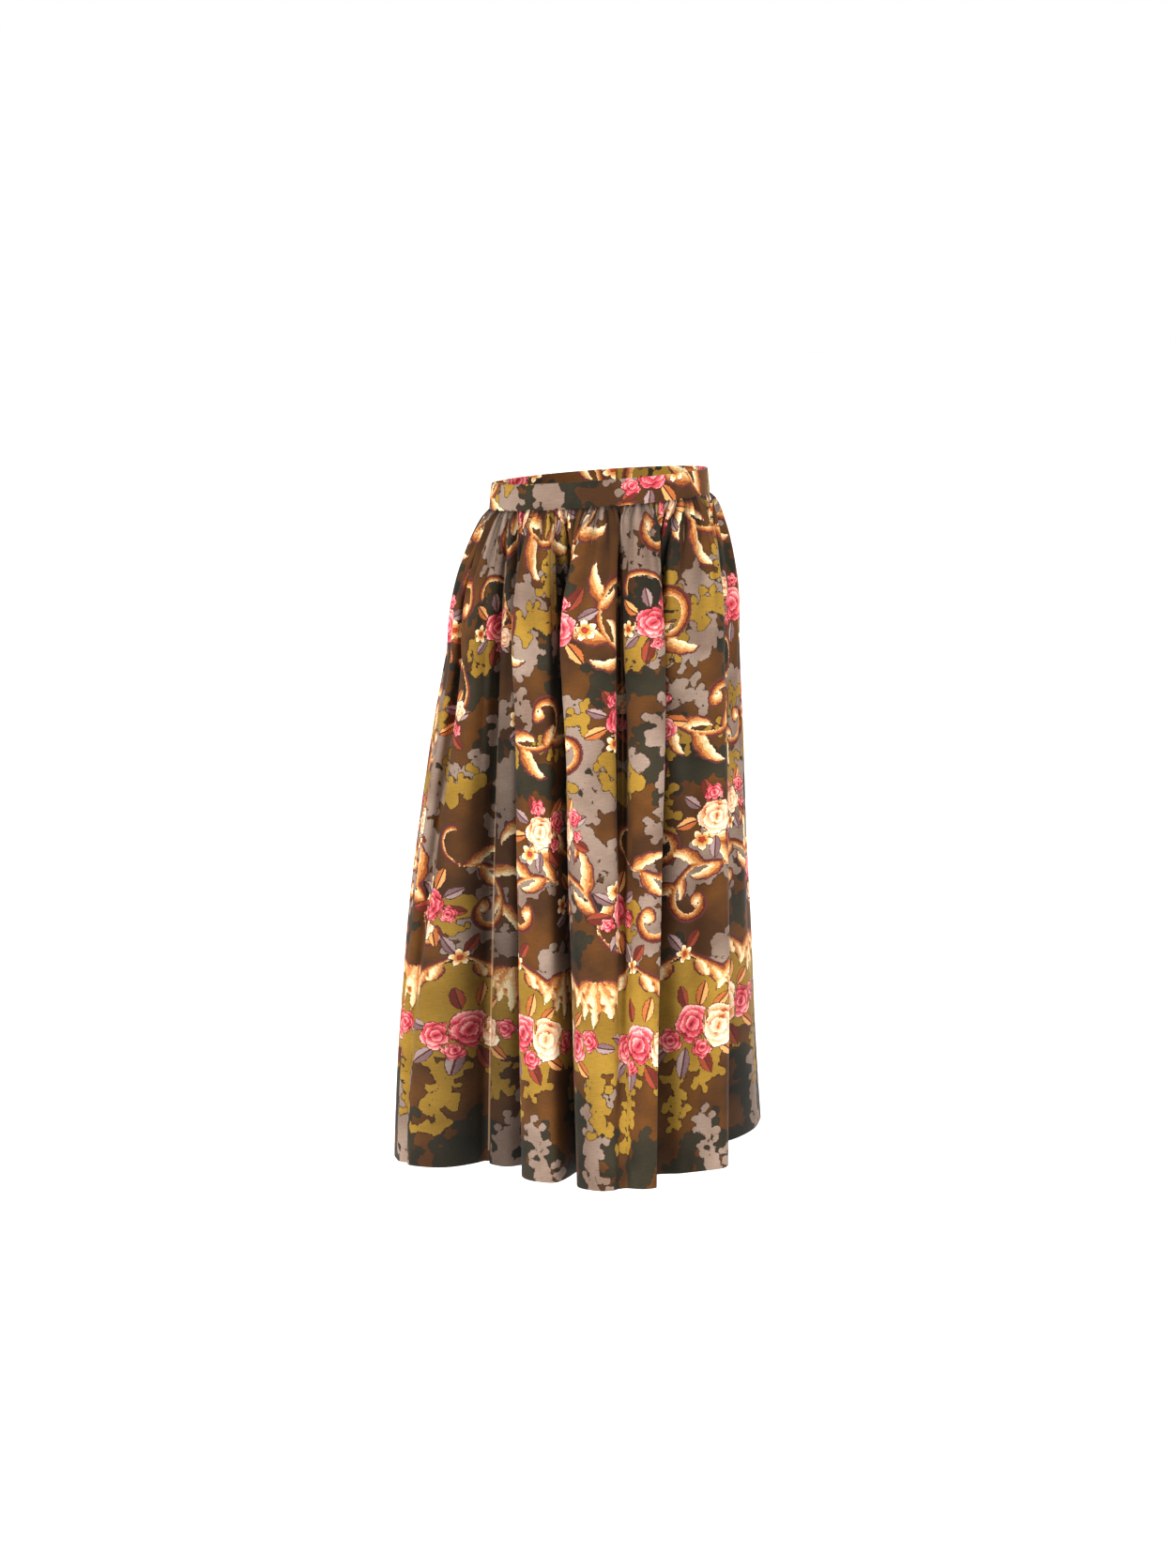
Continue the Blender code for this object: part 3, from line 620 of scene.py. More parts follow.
def makeWoolChallis(name, fade=0.0):
    # wool challis, plain woven and screen printed: soft and matt, with a faint bloom where it turns away
    material = bpy.data.materials.new(name)
    add = startNodes(material)
    places = [
        add("Attribute", attribute_name=part + "Place", take="Vector")
        for part in ("cloth", "ground", "scroll", "leaf", "flower")
    ]
    where, ground, scroll, leaf, flower = (add("SeparateXYZ", p, take="X").node.outputs for p in places)
    leafKind = add("Attribute", attribute_name="leafKind", take="Fac")
    flowerKind = add("Attribute", attribute_name="flowerKind", take="Fac")
    place = places[0]
    stitch = add("VectorMath SNAP", place, (challis["stitch"],) * 3)
    jag = add("TexWhiteNoise", stitch, noise_dimensions="2D")
    jag = add("Math SUBTRACT", jag, 0.5)  # -0.5 to 0.5, one value for each stitch
    streak = add("TexNoise", stitch, 160.0, 1.0, noise_dimensions="2D")
    cloudy = add("TexNoise", place, 16.0, 2.0, noise_dimensions="2D")
    cloudy = add("MapRange", cloudy, 0.35, 0.65)

    # ground: patches of dark green, grey and olive on brown, with lobed edges and thin outlines
    waver = add("TexNoise", place, 150.0, 1.0, noise_dimensions="2D")
    waver = add("Math MULTIPLY_ADD", jag, 0.9, add("Math MULTIPLY_ADD", waver, 4.0, -2.0))  # mm
    colour = add("Mix", cloudy, *map(linear, challis["brown"]))
    for axis, patch, line in (("Z", "green", 0.5), ("X", "grey", 0.8), ("Y", "olive", 0.85)):
        level = add("Math ADD", ground[axis], waver)
        own = add("Mix", cloudy, *map(linear, challis[patch]))
        colour = add("Mix", add("Math GREATER_THAN", level, 0.0), colour, own)
        edge = add("Math MULTIPLY", add("Math COMPARE", level, 0.0, 0.5), line)
        colour = add("Mix", edge, colour, linear(challis["outline"]))

    # scrolls: five tones from the shaded side to the lit one, with a plum shadow on the shaded side
    tone = add("Math MULTIPLY_ADD", streak, 0.2, add("Math MULTIPLY_ADD", jag, 0.1, scroll["Y"]))
    tone = add("Math SUBTRACT", tone, 0.10)
    shadow = add("Math MULTIPLY_ADD", add("Math LESS_THAN", tone, 0.42), -1.7, -0.3)
    tones = add("ValToRGB", tone, stops=challis["scroll"])
    inside = add("Math MULTIPLY_ADD", jag, 1.1, scroll["X"])
    colour = printOver(add, colour, inside, challis["plum"], shadow, tones)

    # leaves: two halves of different tone along a thin midrib
    half = add("Math GREATER_THAN", add("Math MULTIPLY_ADD", jag, 0.5, leaf["Y"]), 0.0)
    pick = add("Math MULTIPLY_ADD", add("Math MULTIPLY_ADD", leafKind, 2.0, half), 1 / 6, 1 / 12)
    tones = add("ValToRGB", pick, stops=challis["leaves"])
    tones = add("Mix", add("Math COMPARE", leaf["Y"], 0.0, 0.14), tones, linear(challis["midrib"]))
    inside = add("Math MULTIPLY_ADD", jag, 1.3, leaf["Z"])
    colour = printOver(add, colour, inside, challis["leafLine"], -0.8, tones)

    # flowers: a rose is three layers of petals, each dark at its foot and pale at its rim
    angle = add("Math ARCTAN2", flower["Y"], flower["X"])
    square = add("Math MULTIPLY", flower["X"], flower["X"])
    reach = add("Math POWER", add("Math MULTIPLY_ADD", flower["Y"], flower["Y"], square), 0.5)
    uneven = add("Math SUBTRACT", add("Math MULTIPLY_ADD", streak, 0.20, reach), 0.10)
    uneven = add("Math MULTIPLY_ADD", jag, 0.06, uneven)
    rose = None
    for petals, turn, outer, inner in rosePetals:
        bulge = add("Math MULTIPLY_ADD", angle, petals / 2, turn)
        bulge = add("Math ABSOLUTE", add("Math SINE", bulge))  # 0 between two petals
        rim = add("Math MULTIPLY_ADD", bulge, 0.16 * outer, 0.84 * outer)
        tone = add("MapRange", uneven, inner, rim, -0.1, 0.68, clamp=False)
        tone = add("Math MULTIPLY_ADD", flower["Y"], -0.22, add("Math MULTIPLY_ADD", bulge, 0.3, tone))
        if rose:
            rose = add("Mix", add("Math LESS_THAN", uneven, rim), rose, tone, data_type="FLOAT")
        else:
            rose, scallop = tone, add("Math SUBTRACT", 1.0, bulge)
    small = add("Math GREATER_THAN", flowerKind, 1.5)
    notch = add("Math MULTIPLY_ADD", small, -2.6, -2.6)  # mm that a notch cuts in
    inside = add("Math MULTIPLY_ADD", scallop, notch, flower["Z"])
    inside = add("Math MULTIPLY_ADD", jag, 1.3, inside)
    crimson, pale = (add("ValToRGB", rose, stops=challis[kind]) for kind in ("crimson", "pale"))
    bloom = add("ValToRGB", add("Math MULTIPLY_ADD", jag, 0.12, reach), stops=challis["bloom"])
    tones = add("Mix", add("Math GREATER_THAN", flowerKind, 0.5), crimson, pale)
    tones = add("Mix", small, tones, bloom)
    colour = printOver(add, colour, inside, challis["roseLine"], -0.3, tones, 0.6)

    # slubs in the yarn, lighter and darker, and the ribs of the weave
    slub = add("VectorMath MULTIPLY", place, (90, 1100, 1))
    slub = add("TexNoise", slub, 1.0, 2.0, noise_dimensions="2D")
    endSlub = add("VectorMath MULTIPLY", place, (1100, 120, 1))
    endSlub = add("TexNoise", endSlub, 1.0, 1.0, noise_dimensions="2D")
    shade = add("MapRange", add("Math MULTIPLY_ADD", endSlub, 0.5, slub), 0.5, 1.0, 0.88, 1.12)
    pitch = pi / 10 / challis["rib"]
    rib = add("TexWave", place, pitch, 0.6, bands_direction="Y")
    warp = add("TexWave", place, pitch, 0.6, bands_direction="X")

    # painted shade in the gathers' creases, and in puckers finer than the mesh between them, both of uneven
    # length
    wander = add("TexNoise", place, 22.0, 1.0, noise_dimensions="2D")
    crease = addCreases(add, where["Z"], where["Y"], **gatherShade)
    pucker = addCreases(add, add("Math MULTIPLY_ADD", where["Z"], 2.0, wander), where["Y"], **puckerShadeAndRelief)
    paintedCreaseShade = add("Math ADD", crease, pucker)
    valleyShade = add("Attribute", attribute_name="valleyShade", take="Fac")  # soft painted shade deep between the folds
    # the colour is made lighter and darker along the weave's ribs, then darkened by painted shade in the
    # creases, a painted shadow in the top few millimetres under the waistband, and painted shade in the
    # valleys between the folds
    for part, *span in (
        (rib, 0.0, 1.0, 0.93, 1.05), (paintedCreaseShade, 0.05, 1.25, 1.06, 0.14),
        (where["Y"], 0.0002, 0.0035, 0.4, 1.0), (valleyShade, 0.0, 1.0, 1.03, challis["valleyShade"]),
    ):
        shade = add("Math MULTIPLY", shade, add("MapRange", part, *span))
    colour = add("VectorMath MULTIPLY", colour, add("CombineXYZ", shade, shade, shade))
    if fade:
        colour = add("Mix", fade, colour, linear(challis["reverse"]))

    # relief of the weave, the puckers and the pricks where the hem's blind stitches catch the cloth
    weave = add("Math MULTIPLY_ADD", slub, 2.2, add("Math MULTIPLY_ADD", warp, 0.5, rib))
    prick = add("Math PINGPONG", where["X"], hemStitches["pitch"])
    prick = add("Math GREATER_THAN", prick, hemStitches["pitch"] * 0.88)
    row = add("Math COMPARE", where["Y"], hemStitches["drop"], hemStitches["half"])
    weave = add("Math MULTIPLY_ADD", add("Math MULTIPLY", prick, row), -3.0, weave)
    creased = add("Bump", sockets={"Strength": 1.0, "Distance": 0.0035, "Height": pucker}, invert=True)
    bump = add("Bump", sockets={"Strength": 0.35, "Distance": 0.0003, "Height": weave, "Normal": creased})
    surface = add("BsdfPrincipled", sockets={
        "Base Color": colour, "Roughness": 0.78, "Specular IOR Level": 0.16,
        "Sheen Weight": 0.05, "Sheen Roughness": 0.45, "Normal": bump})
    add("OutputMaterial", surface)
    return material


cloth = makeWoolChallis("woolChallis")
clothReverse = makeWoolChallis("woolChallisReverse", challis["reverseFade"])
print("materials made")


panels = {  # first and last fold, and the flat size
    "front_panel": ("right_hip", "front_left", (0.90, 0.775)),
    "back_left_panel": ("left_side", "back_inner", (0.44, 0.775)),
    "back_right_panel": ("back_outer", "right_side", (0.52, 0.775)),
}
sheet = {
    "fineColumns": 12, "coarseColumns": 6,  # mesh columns in each gather, outside and inside
    "fineRows": (0.0020, 0.00275), "coarseRows": (0.004, 0.006),  # row heights above and below rowChange
    "rowChange": 0.07, "reverseStop": 0.012, "turnUpRows": 0.0036,
    "outer": 0.0006, "inner": -0.0002, "turnUp": -0.0009,  # faces of the cloth from the middle of its solid
    "tuckIn": 0.003,  # how far the cloth goes up inside the waistband
    "seamDip": 0.0012, "seamReach": 0.004,  # the cloth dips to each seam
    "valleySpan": 38, "valleyFrom": 0.006, "valleyDepth": 0.048,  # columns to each side, then metres
}


def rowDrops(first, last, near, far):
    change = sheet["rowChange"]
    fine = np.linspace(first, change, max(int((change - first) / near), 1), endpoint=False)
    return np.concatenate([fine, np.linspace(change, last, int((last - change) / far) + 1)])


def valleyDepth(points):
    # 0 on the folds' crowns, 1 in the bottom of a deep valley between two folds; it darkens the outer face as
    # painted shade
    reach, span = np.hypot(points[..., 0], points[..., 1]), sheet["valleySpan"]

    def shifted(values, widest, step):
        padded = np.pad(values, ((0, 0), (widest, widest)), mode="edge")
        return [padded[:, k : k + values.shape[1]] for k in range(0, 2 * widest + 1, step)]

    crowns = np.max(shifted(reach, span, 4), axis=0)
    depth = np.clip((crowns - reach - sheet["valleyFrom"]) / sheet["valleyDepth"], 0, 1)
    return np.mean(shifted(depth, 6, 2), axis=0)


def hemRows(end):
    # drop and distance outwards round the hem's edge and up inside it, and the place on the cloth
    outer, turned, allowance = sheet["outer"], sheet["turnUp"], skirt["hemAllowance"]
    middle, half = (outer + turned) / 2, (outer - turned) / 2
    for angle in np.radians((30, 60, 90, 120, 150)):
        yield end + half * sin(angle), middle + half * cos(angle), end + half * angle
    for back in np.arange(0.002, allowance, sheet["turnUpRows"]):
        yield end - back, turned, end + back
    yield end - allowance, sheet["inner"] + 0.0001, end + allowance


def makePanel(name, firstFold, lastFold, flat):
    for outer, label, material in ((True, name + "_cloth", cloth), (False, name + "_reverse", clothReverse)):
        kind = "fine" if outer else "coarse"
        columns = makeColumns(sheet[kind + "Columns"])
        first = columns["starts"][foldNames.index(firstFold)]
        last = columns["starts"][foldNames.index(lastFold) + 1]
        end = skirt["length"] - (0 if outer else sheet["reverseStop"])
        drops = rowDrops(-sheet["tuckIn"] if outer else 0.0, end, *sheet[kind + "Rows"])
        rows = [(drop, sheet["outer" if outer else "inner"], drop) for drop in drops]
        if outer:
            rows += hemRows(end)
        down = [row[2] for row in rows]
        around = columns["around"][np.arange(first, last + 1) % columns["count"]].copy()
        around[-1] = around[-2] * 2 - around[-3]
        dip = np.minimum(around - around[0], around[-1] - around) / sheet["seamReach"]
        points = clothRows(columns, first, last, [(d, o) for d, o, _ in rows])
        inward = clothRows(columns, first, last, [(d, o - sheet["seamDip"]) for d, o, _ in rows])
        points += (inward - points) * np.exp(-dip * dip)[None, :, None]
        skin = meshFromGrid(label, points, material)
        # painted shade: the outer face gets darker the deeper it lies between the folds
        giveAttribute(skin, "valleyShade", valleyDepth(points).ravel() * outer)
        gathers = np.arange(first, last + 1) / columns["perGather"]
        givePrint(skin, around, down, np.array([swayedGathers(gathers, drop) for drop in down]))
        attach(skin, "root")
    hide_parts(name)


for name, (firstFold, lastFold, flat) in panels.items():
    makePanel(name, firstFold, lastFold, flat)
print("panels made")


band = {
    "wall": 0.0022, "taper": 0.0025,
    "lapLength": 0.030, "lapClimb": radians(24), "gap": 0.0003,
    "edge": 0.0009,  # the folded top edge is round
    "belly": 0.0004,  # the band swells a little over its interlining
    "printAt": 0.128,  # drop on the cloth that the band's print is cut from
    "printAround": 0.06,
    "pucker": 0.00022,  # the gathers pull its lower edge in and out
    "stations": 420,
}


def lapOffset(angle):
    done = np.clip((angle - (3 * pi - band["lapClimb"])) / (0.9 * band["lapClimb"]), 0, 1)
    return (band["wall"] + band["gap"]) * done * done * (3 - 2 * done)


def bandPoints(angles, outwards, height):
    inwards = band["taper"] * (0.5 + height / skirt["bandHeight"])
    plan = waistPoints(angles, outwards - inwards + lapOffset(angles))
    return np.column_stack([plan, height + skirt["sideRise"] * plan[:, 0]])


def makeWaistband():
    half, top, edge = band["wall"] / 2, skirt["bandHeight"] / 2, band["edge"]
    flat, quarter = top - edge, (skirt["waistHalfWidth"] + skirt["waistHalfDepth"]) / 2
    section = [(-half, height) for height in np.linspace(-flat, flat, 7)]  # up the inside
    for angle in np.radians(np.arange(157.5, 0, -22.5)):  # over the folded top edge
        section.append((half * cos(angle), flat + edge * sin(angle)))
    for height in np.linspace(flat, -flat, 13):  # and down the outside
        section.append((half + band["belly"] * (1 - (height / top) ** 2), height))
    for angle in np.radians(np.arange(-22.5, -180, -22.5)):
        section.append((half * cos(angle), -flat + edge * sin(angle)))
    section.append(section[0])
    angles = np.linspace(pi, 3 * pi + band["lapLength"] / skirt["waistHalfWidth"], band["stations"])
    points, down = [], [0.0]
    for before, (out, height) in zip([section[0]] + section, section):
        pucker = np.cos(angles * gatherCount * 0.5 + 2.2 * np.sin(angles * 5)) * max(0.3 - height / top, 0)
        points.append(bandPoints(angles, out + band["pucker"] * pucker, height))
        down.append(down[-1] + dist(before, (out, height)))
    piece = meshFromGrid("waistband_cloth", np.array(points), cloth)
    around = (angles - pi) * quarter + band["printAround"]
    givePrint(piece, around, np.array(down[1:]) + band["printAt"] - skirt["bandHeight"])
    mesh = bmesh.new()
    mesh.from_mesh(piece.data)
    bmesh.ops.remove_doubles(mesh, verts=mesh.verts, dist=0.000001)
    bmesh.ops.holes_fill(mesh, edges=[e for e in mesh.edges if e.is_boundary])
    mesh.to_mesh(piece.data)
    mesh.free()
    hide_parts("waistband")
    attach(piece, "root")


makeWaistband()
print("waistband made")


button = {
    "radius": 0.0075, "depth": 0.0026, "rim": 0.0016, "edge": 0.0006, "dish": 0.0007,
    "holeRadius": 0.0009, "holeOffset": 0.0018, "lapShare": 0.55,
    "thread": 0.00028,
    "holeLength": 0.0185, "slitStitch": 0.0011, "stitchLay": 0.0003,
}


def makeHorn():
    # polyester button cast like dark horn: glossy, with slow brown streaks under the surface
    material = bpy.data.materials.new("castHornButton")
    add = startNodes(material)
    place = add("TexCoord", take="Object")
    drawn = add("VectorMath MULTIPLY", place, (180, 620, 300))
    streaks = add("TexNoise", sockets={"Vector": drawn, "Scale": 1.0, "Detail": 4.0, "Distortion": 1.4})
    colour = add("ValToRGB", streaks, stops=((0.0, "#21150d"), (0.48, "#2f1d11"), (0.6, "#442a17")))
    colour.node.color_ramp.interpolation = "EASE"
    scuffs = add("TexNoise", place, 900.0, 3.0)
    roughness = add("MapRange", scuffs, 0.3, 0.7, 0.24, 0.38)
    bump = add("Bump", sockets={"Strength": 0.2, "Distance": 0.0001, "Height": scuffs})
    surface = add("BsdfPrincipled", sockets={
        "Base Color": colour, "Roughness": roughness, "IOR": 1.54, "Normal": bump})
    add("OutputMaterial", surface)
    return material


def makeRibbed(name, colours, scale, distortion, direction, relief, **finish):
    # a colour and a low relief that follow fine ribs
    material = bpy.data.materials.new(name)
    add = startNodes(material)
    ribs = add("TexWave", add("TexCoord", take="Object"), scale, distortion, bands_direction=direction)
    bump = add("Bump", sockets={"Strength": 0.5, "Distance": relief, "Height": ribs})
    colour = add("Mix", ribs, *map(linear, colours))
    add("OutputMaterial", add("BsdfPrincipled", sockets={"Base Color": colour, "Normal": bump, **finish}))
    return material


def makeLacquer():
    # zinc pull dipped in brown lacquer: hard gloss that thins and dulls a little where fingers rub it
    material = bpy.data.materials.new("brownLacquer")
    add = startNodes(material)
    rubbed = add("TexNoise", add("TexCoord", take="Object"), 420.0, 3.0)
    colour = add("Mix", rubbed, linear("#3b2512"), linear("#52371d"))
    roughness = add("MapRange", rubbed, 0.3, 0.7, 0.22, 0.42)
    surface = add("BsdfPrincipled", sockets={"Base Color": colour, "Roughness": roughness, "IOR": 1.5})
    add("OutputMaterial", surface)
    return material


horn = makeHorn()
# mercerised cotton thread: two plies twisted, with a little shine along the twist
twist = {"scale": 700.0, "distortion": 1.0, "direction": "DIAGONAL", "relief": 0.0001}
shine = {"Roughness": 0.55, "Sheen Weight": 0.2}
thread = makeRibbed("mercerisedThread", ("#33271a", "#54412b"), **twist, **shine)


def lapPlace(alongLap, outwards, height=0.0):
    angle = 3 * pi + alongLap / skirt["waistHalfWidth"]
    place = bandPoints(np.array([angle]), band["wall"] / 2 + band["belly"] + outwards, height)[0]
    out = Vector((sin(angle) / skirt["waistHalfWidth"], -cos(angle) / skirt["waistHalfDepth"], 0))
    out = out.normalized() + Vector((0, 0, band["taper"] / skirt["bandHeight"]))
    return Vector(place), out.normalized()


def circle(sides, radius=1.0):
    turns = np.arange(sides) * 2 * pi / sides
    return [(radius * cos(a), radius * sin(a)) for a in turns]


def skinRings(mesh, rings):
    sides = max(len(ring) for ring in rings)
    for ring, following in zip(rings, rings[1:]):
        for k in range(sides):
            corners = [ring[k % len(ring)], following[k % len(following)]]
            corners += [following[(k + 1) % len(following)], ring[(k + 1) % len(ring)]]
            mesh.faces.new(list(dict.fromkeys(corners)))
    for ring in (rings[0], rings[-1]):
        if len(ring) > 1:
            mesh.faces.new(ring)


def latheSolid(mesh, profile, sides, middle=(0, 0)):
    rings = []
    for radius, height in profile:
        places = circle(sides, radius) if radius else [(0, 0)]
        rings.append([mesh.verts.new((middle[0] + x, middle[1] + y, height)) for x, y in places])
    skinRings(mesh, rings)


def addTube(mesh, points, radius, sides=8):
    rings = []
    for k, point in enumerate(points):
        along = (points[min(k + 1, len(points) - 1)] - points[max(k - 1, 0)]).normalized()
        across = along.cross(Vector((0.31, 0.17, 0.93))).normalized()
        up = along.cross(across)
        rings.append([mesh.verts.new(point + across * x + up * y) for x, y in circle(sides, radius)])
    skinRings(mesh, rings)


def solidPiece(name, mesh, material):
    bmesh.ops.recalc_face_normals(mesh, faces=mesh.faces)
    data = bpy.data.meshes.new(name)
    mesh.to_mesh(data)
    mesh.free()
    data.materials.append(material)
    data.shade_smooth()
    data.set_sharp_from_angle(angle=radians(40))
    return addToScene(name, data)


def makeButton():
    radius, depth, edge, offset = button["radius"], button["depth"], button["edge"], button["holeOffset"]
    flat, body, inner = depth - button["dish"], radius - edge, radius - button["rim"]
    profile = [(0, 0), (body, 0)]
    profile += [(body + edge * sin(a), edge - edge * cos(a)) for a in np.radians((30, 60, 90))]
    profile += [(body + edge * cos(a), depth - edge + edge * sin(a)) for a in np.radians((0, 30, 60, 90))]
    profile += [(inner + 0.0002, depth), (inner, depth - 0.00012), (inner - 0.0004, flat + 0.0002)]
    profile += [(inner - 0.0008, flat + 0.00004), (inner - 0.0014, flat), (0, flat)]
    mesh = bmesh.new()
    latheSolid(mesh, profile, 72)
    piece = solidPiece("horn_button", mesh, horn)
    cutter, hole = bmesh.new(), button["holeRadius"]
    for turn in np.radians((45, 135, 225, 315)):
        wall = [(0, -depth), (hole, -depth), (hole, 2 * depth), (0, 2 * depth)]
        latheSolid(cutter, wall, 24, (offset * cos(turn), offset * sin(turn)))
    cutter = solidPiece("button_holes", cutter, horn)
    cut = piece.modifiers.new("holes", "BOOLEAN")
    cut.operation, cut.solver, cut.object = "DIFFERENCE", "EXACT", cutter
    bpy.context.view_layer.update()
    graph = bpy.context.evaluated_depsgraph_get()
    drilled = bpy.data.meshes.new_from_object(piece.evaluated_get(graph))
    piece.modifiers.clear()
    piece.data = drilled
    bpy.data.objects.remove(cutter)
    place, out = lapPlace(button["lapShare"] * band["lapLength"], 0.0002)
    turnTo(piece, place, out, "Z")
    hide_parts("waist_button")
    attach(piece, "root")
    strands = bmesh.new()  # two bars of four strands through the holes
    offset, lay = offset / sqrt(2), button["thread"]
    for side in (-1, 1):
        for strand in range(4):
            points = []
            for t in np.linspace(0, 1, 13):
                across = side * offset + (strand - 1.5) * lay * 0.9
                high = flat - 0.0012 + 0.0019 * sin(pi * t) ** 0.5
                points.append(Vector(((2 * t - 1) * offset, across, high)))
            addTube(strands, points, lay / 2)
    knot = solidPiece("button_thread", strands, thread)
    turnTo(knot, place, out, "Z")
    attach(knot, "root")


def makeButtonhole():
    stitches = bmesh.new()  # satin stitches side by side round a slit that runs along the lap
    middle, half = button["lapShare"] * band["lapLength"], button["holeLength"] / 2
    wide, lay = button["slitStitch"], button["stitchLay"]
    steps = int(2 * half / lay)
    rows = []
    for side in (-1, 1):
        shares = np.linspace(0, 1, 5)
        arch = [(0.00028 * sin(pi * t) ** 0.6 - 0.00005, side * (0.0001 + wide * t)) for t in shares]
        rows += [(middle - half + 2 * half * k / steps, arch) for k in range(steps + 1)]
    bar = [(0.00005 + 0.0003 * (1 - t * t) ** 0.5, t * wide * 1.25) for t in np.linspace(-1, 1, 7)]
    rows += [(middle + end * (half + lay * (k - 1)), bar) for end in (-1, 1) for k in range(5)]
    for along, arch in rows:
        addTube(stitches, [lapPlace(along, out, height)[0] for out, height in arch], lay * 0.52, 5)
    piece = solidPiece("buttonhole", stitches, thread)
    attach(piece, "root")


makeButton()
makeButtonhole()
print("button made")


# concealed zip in the centre back seam: tape and coil are inside, and the pull hangs out under the lap
zipper = {
    "foot": 0.172, "tapeHalf": 0.0065, "tapeWall": 0.0005, "inside": -0.0021,
    "pitch": 0.0016, "tooth": (0.0014, 0.0005, 0.0006),  # half sizes across, down and out
    "toothSide": 0.0006, "toothInside": -0.0009,
    "pullFrom": 0.003, "pullLength": 0.015, "pullHalf": 0.0017, "pullWall": 0.0009, "pullOut": 0.0016,
}


def seamFrame(columns, seam, drop, outwards):
    ring = clothRing(columns, drop)
    out = ringNormal(clothRing({**columns, "gather": columns["gather"] * 0}, drop))[seam]
    near = ring[np.arange(seam - 4, seam + 5)] - ring[seam]
    close = np.linalg.norm(near, axis=1) < zipper["pullHalf"] * 1.3
    clear = max(float((near[close] @ out).max()), 0) if outwards > 0 else 0
    place = atDrop((ring[seam] + out * (outwards + clear))[None, :], drop)[0]
    return Vector(place), Vector((*out, 0)), Vector((-out[1], out[0], 0))


def tapeRow(columns, seam, drop, reach=40):
    ring = clothRing(columns, drop, zipper["inside"])[np.arange(seam - reach, seam + reach + 1)]
    along = np.concatenate([[0.0], np.cumsum(np.linalg.norm(np.diff(ring, axis=0), axis=1))])
    across = np.linspace(-zipper["tapeHalf"], zipper["tapeHalf"], 9) + along[reach]
    return atDrop(np.column_stack([np.interp(across, along, ring[:, k]) for k in (0, 1)]), drop)


def makeZipper():
    columns = makeColumns(sheet["fineColumns"])
    seam = int(columns["starts"][foldNames.index("back_outer")])
    rows = [tapeRow(columns, seam, drop) for drop in np.linspace(0.0005, zipper["foot"] + 0.012, 60)]
    # knitted polyester tape: dull, with fine chain ribs that run down it
    chains = {"scale": 260.0, "distortion": 0.8, "direction": "X", "relief": 0.0002}
    finish = {"Roughness": 0.8, "Specular IOR Level": 0.3}
    tapeCloth = makeRibbed("polyesterTape", ("#3a2817", "#4f3922"), **chains, **finish)
    tape = meshFromGrid("zip_tape", np.array(rows), tapeCloth)
    wall = tape.modifiers.new("wall", "SOLIDIFY")
    wall.thickness, wall.offset = zipper["tapeWall"], 0.0
    coil = bmesh.new()
    halfAcross, halfDown, halfOut = zipper["tooth"]
    for k, drop in enumerate(np.arange(0.004, zipper["foot"], zipper["pitch"] / 2)):
        place, out, across = seamFrame(columns, seam, drop, zipper["inside"] + zipper["toothInside"])
        side = zipper["toothSide"] * (1 if k % 2 else -1)  # the two rows of teeth lock into each other
        for corner in bmesh.ops.create_icosphere(coil, subdivisions=1, radius=1.0)["verts"]:
            x, y, z = corner.co
            corner.co = place + across * (side + x * halfAcross) + out * (z * halfOut)
            corner.co.z += y * halfDown
    coil = solidPiece("zip_coil", coil, thread)
    pull, rings = bmesh.new(), []
    for along in np.linspace(0, 1, 15):  # a flat drop shape, narrow at its eye and broad near its foot
        drop = zipper["pullFrom"] + along * zipper["pullLength"]
        place, out, across = seamFrame(columns, seam, drop, zipper["pullOut"])
        across *= zipper["pullHalf"] * (0.42 + 0.58 * along) * sqrt(max(1 - max(along * 5 - 4, 0) ** 2, 0.02))
        out *= zipper["pullWall"] / 2
        rings.append([pull.verts.new(place + across * x + out * y) for x, y in circle(12)])
    skinRings(pull, rings)
    pull = solidPiece("zip_pull", pull, makeLacquer())
    for piece, material in ((tape, "printed_cloth"), (coil, "dark_horn"), (pull, "dark_horn")):
        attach(piece, "root")


makeZipper()
print("zip made")


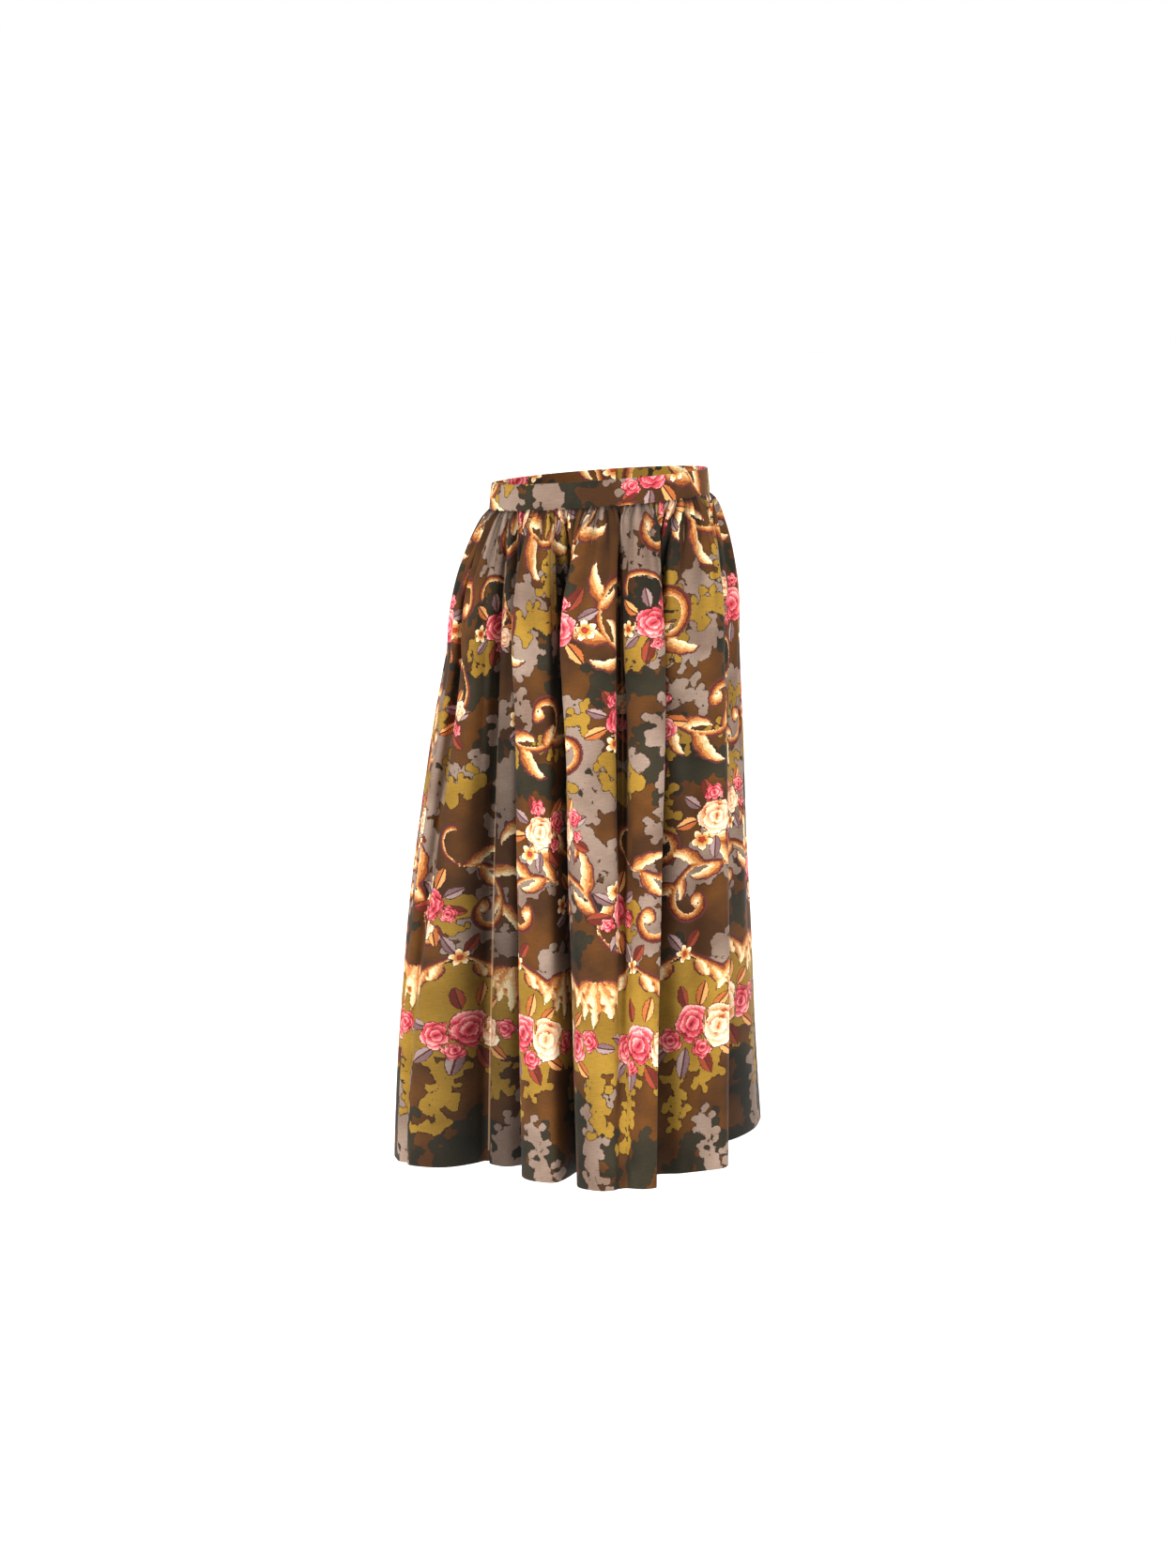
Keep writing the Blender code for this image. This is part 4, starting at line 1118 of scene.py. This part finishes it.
studio = {
    "floorDrop": -1.9, "floorReach": 40,  # low enough for its shadow to fall out of the frame
    "backdrop": "#ffffff", "glow": 0.24,  # a lit sweep of white paper
    "horizon": 1.0, "zenith": 0.08,  # the pale backdrop all round, and the dim room above it
    "suns": {  # azimuth, elevation, strength, softness
        "left": (-34, 26, 3.7, 18), "right": (62, 22, 2.6, 22), "back": (172, 30, 2.4, 40),
    },
}
view = {
    "azimuth": 12, "distance": 4.0, "height": 0.35, "aimHeight": -0.3295, "sideways": -0.0124,
    "focalPixels": 3886, "frame": 1671,  # the frame's long side in pixels
}


def makeFloor():
    # matte white paper: it lights up evenly and shows no gloss
    material = bpy.data.materials.new("mattePaper")
    add = startNodes(material)
    white = linear(studio["backdrop"])
    add("OutputMaterial", add("BsdfPrincipled", sockets={
        "Base Color": white, "Roughness": 0.9, "Emission Color": white, "Emission Strength": studio["glow"]}))
    mesh = bmesh.new()
    bmesh.ops.create_circle(mesh, cap_ends=True, segments=96, radius=studio["floorReach"])
    floor = solidPiece("floor", mesh, material)
    floor.location.z = studio["floorDrop"]
    floor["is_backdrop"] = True


def addSun(name, azimuth, elevation, strength, softness):
    light = bpy.data.lights.new(name, "SUN")
    light.energy, light.angle = strength, radians(softness)
    across, up = radians(azimuth), radians(elevation)
    back = Vector((sin(across) * cos(up), -cos(across) * cos(up), sin(up)))
    turnTo(addToScene(name, light), back * 3, -back)


def makeWorld():
    world = bpy.data.worlds.new("studio")
    bpy.context.scene.world = world
    add = startNodes(world)
    height = add("SeparateXYZ", add("TexCoord", take="Generated"), take="Z")
    strength = add("MapRange", height, 0.05, 0.22, studio["horizon"], studio["zenith"])
    add("OutputWorld", add("Background", linear("#ffffff"), strength))


def makeCamera():
    azimuth = radians(view["azimuth"])
    right = Vector((cos(azimuth), sin(azimuth), 0))
    back = Vector((sin(azimuth), -cos(azimuth), 0))
    place = back * view["distance"] + right * view["sideways"] + Vector((0, 0, view["height"]))
    aim = right * view["sideways"] + Vector((0, 0, view["aimHeight"]))
    data = bpy.data.cameras.new("camera")
    data.sensor_width = 36
    data.lens = view["focalPixels"] / view["frame"] * data.sensor_width
    camera = addToScene("camera", data)
    turnTo(camera, place, aim - place)
    bpy.context.scene.camera = camera


makeFloor()
makeWorld()
for name, sun in studio["suns"].items():
    addSun(name, *sun)
makeCamera()
bpy.context.scene.view_settings.view_transform = "Standard"
print("studio made")

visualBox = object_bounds()
boxes = {"cad": cadBox, "visual": visualBox}
{name: [list(corner) for corner in box] for name, box in boxes.items()}
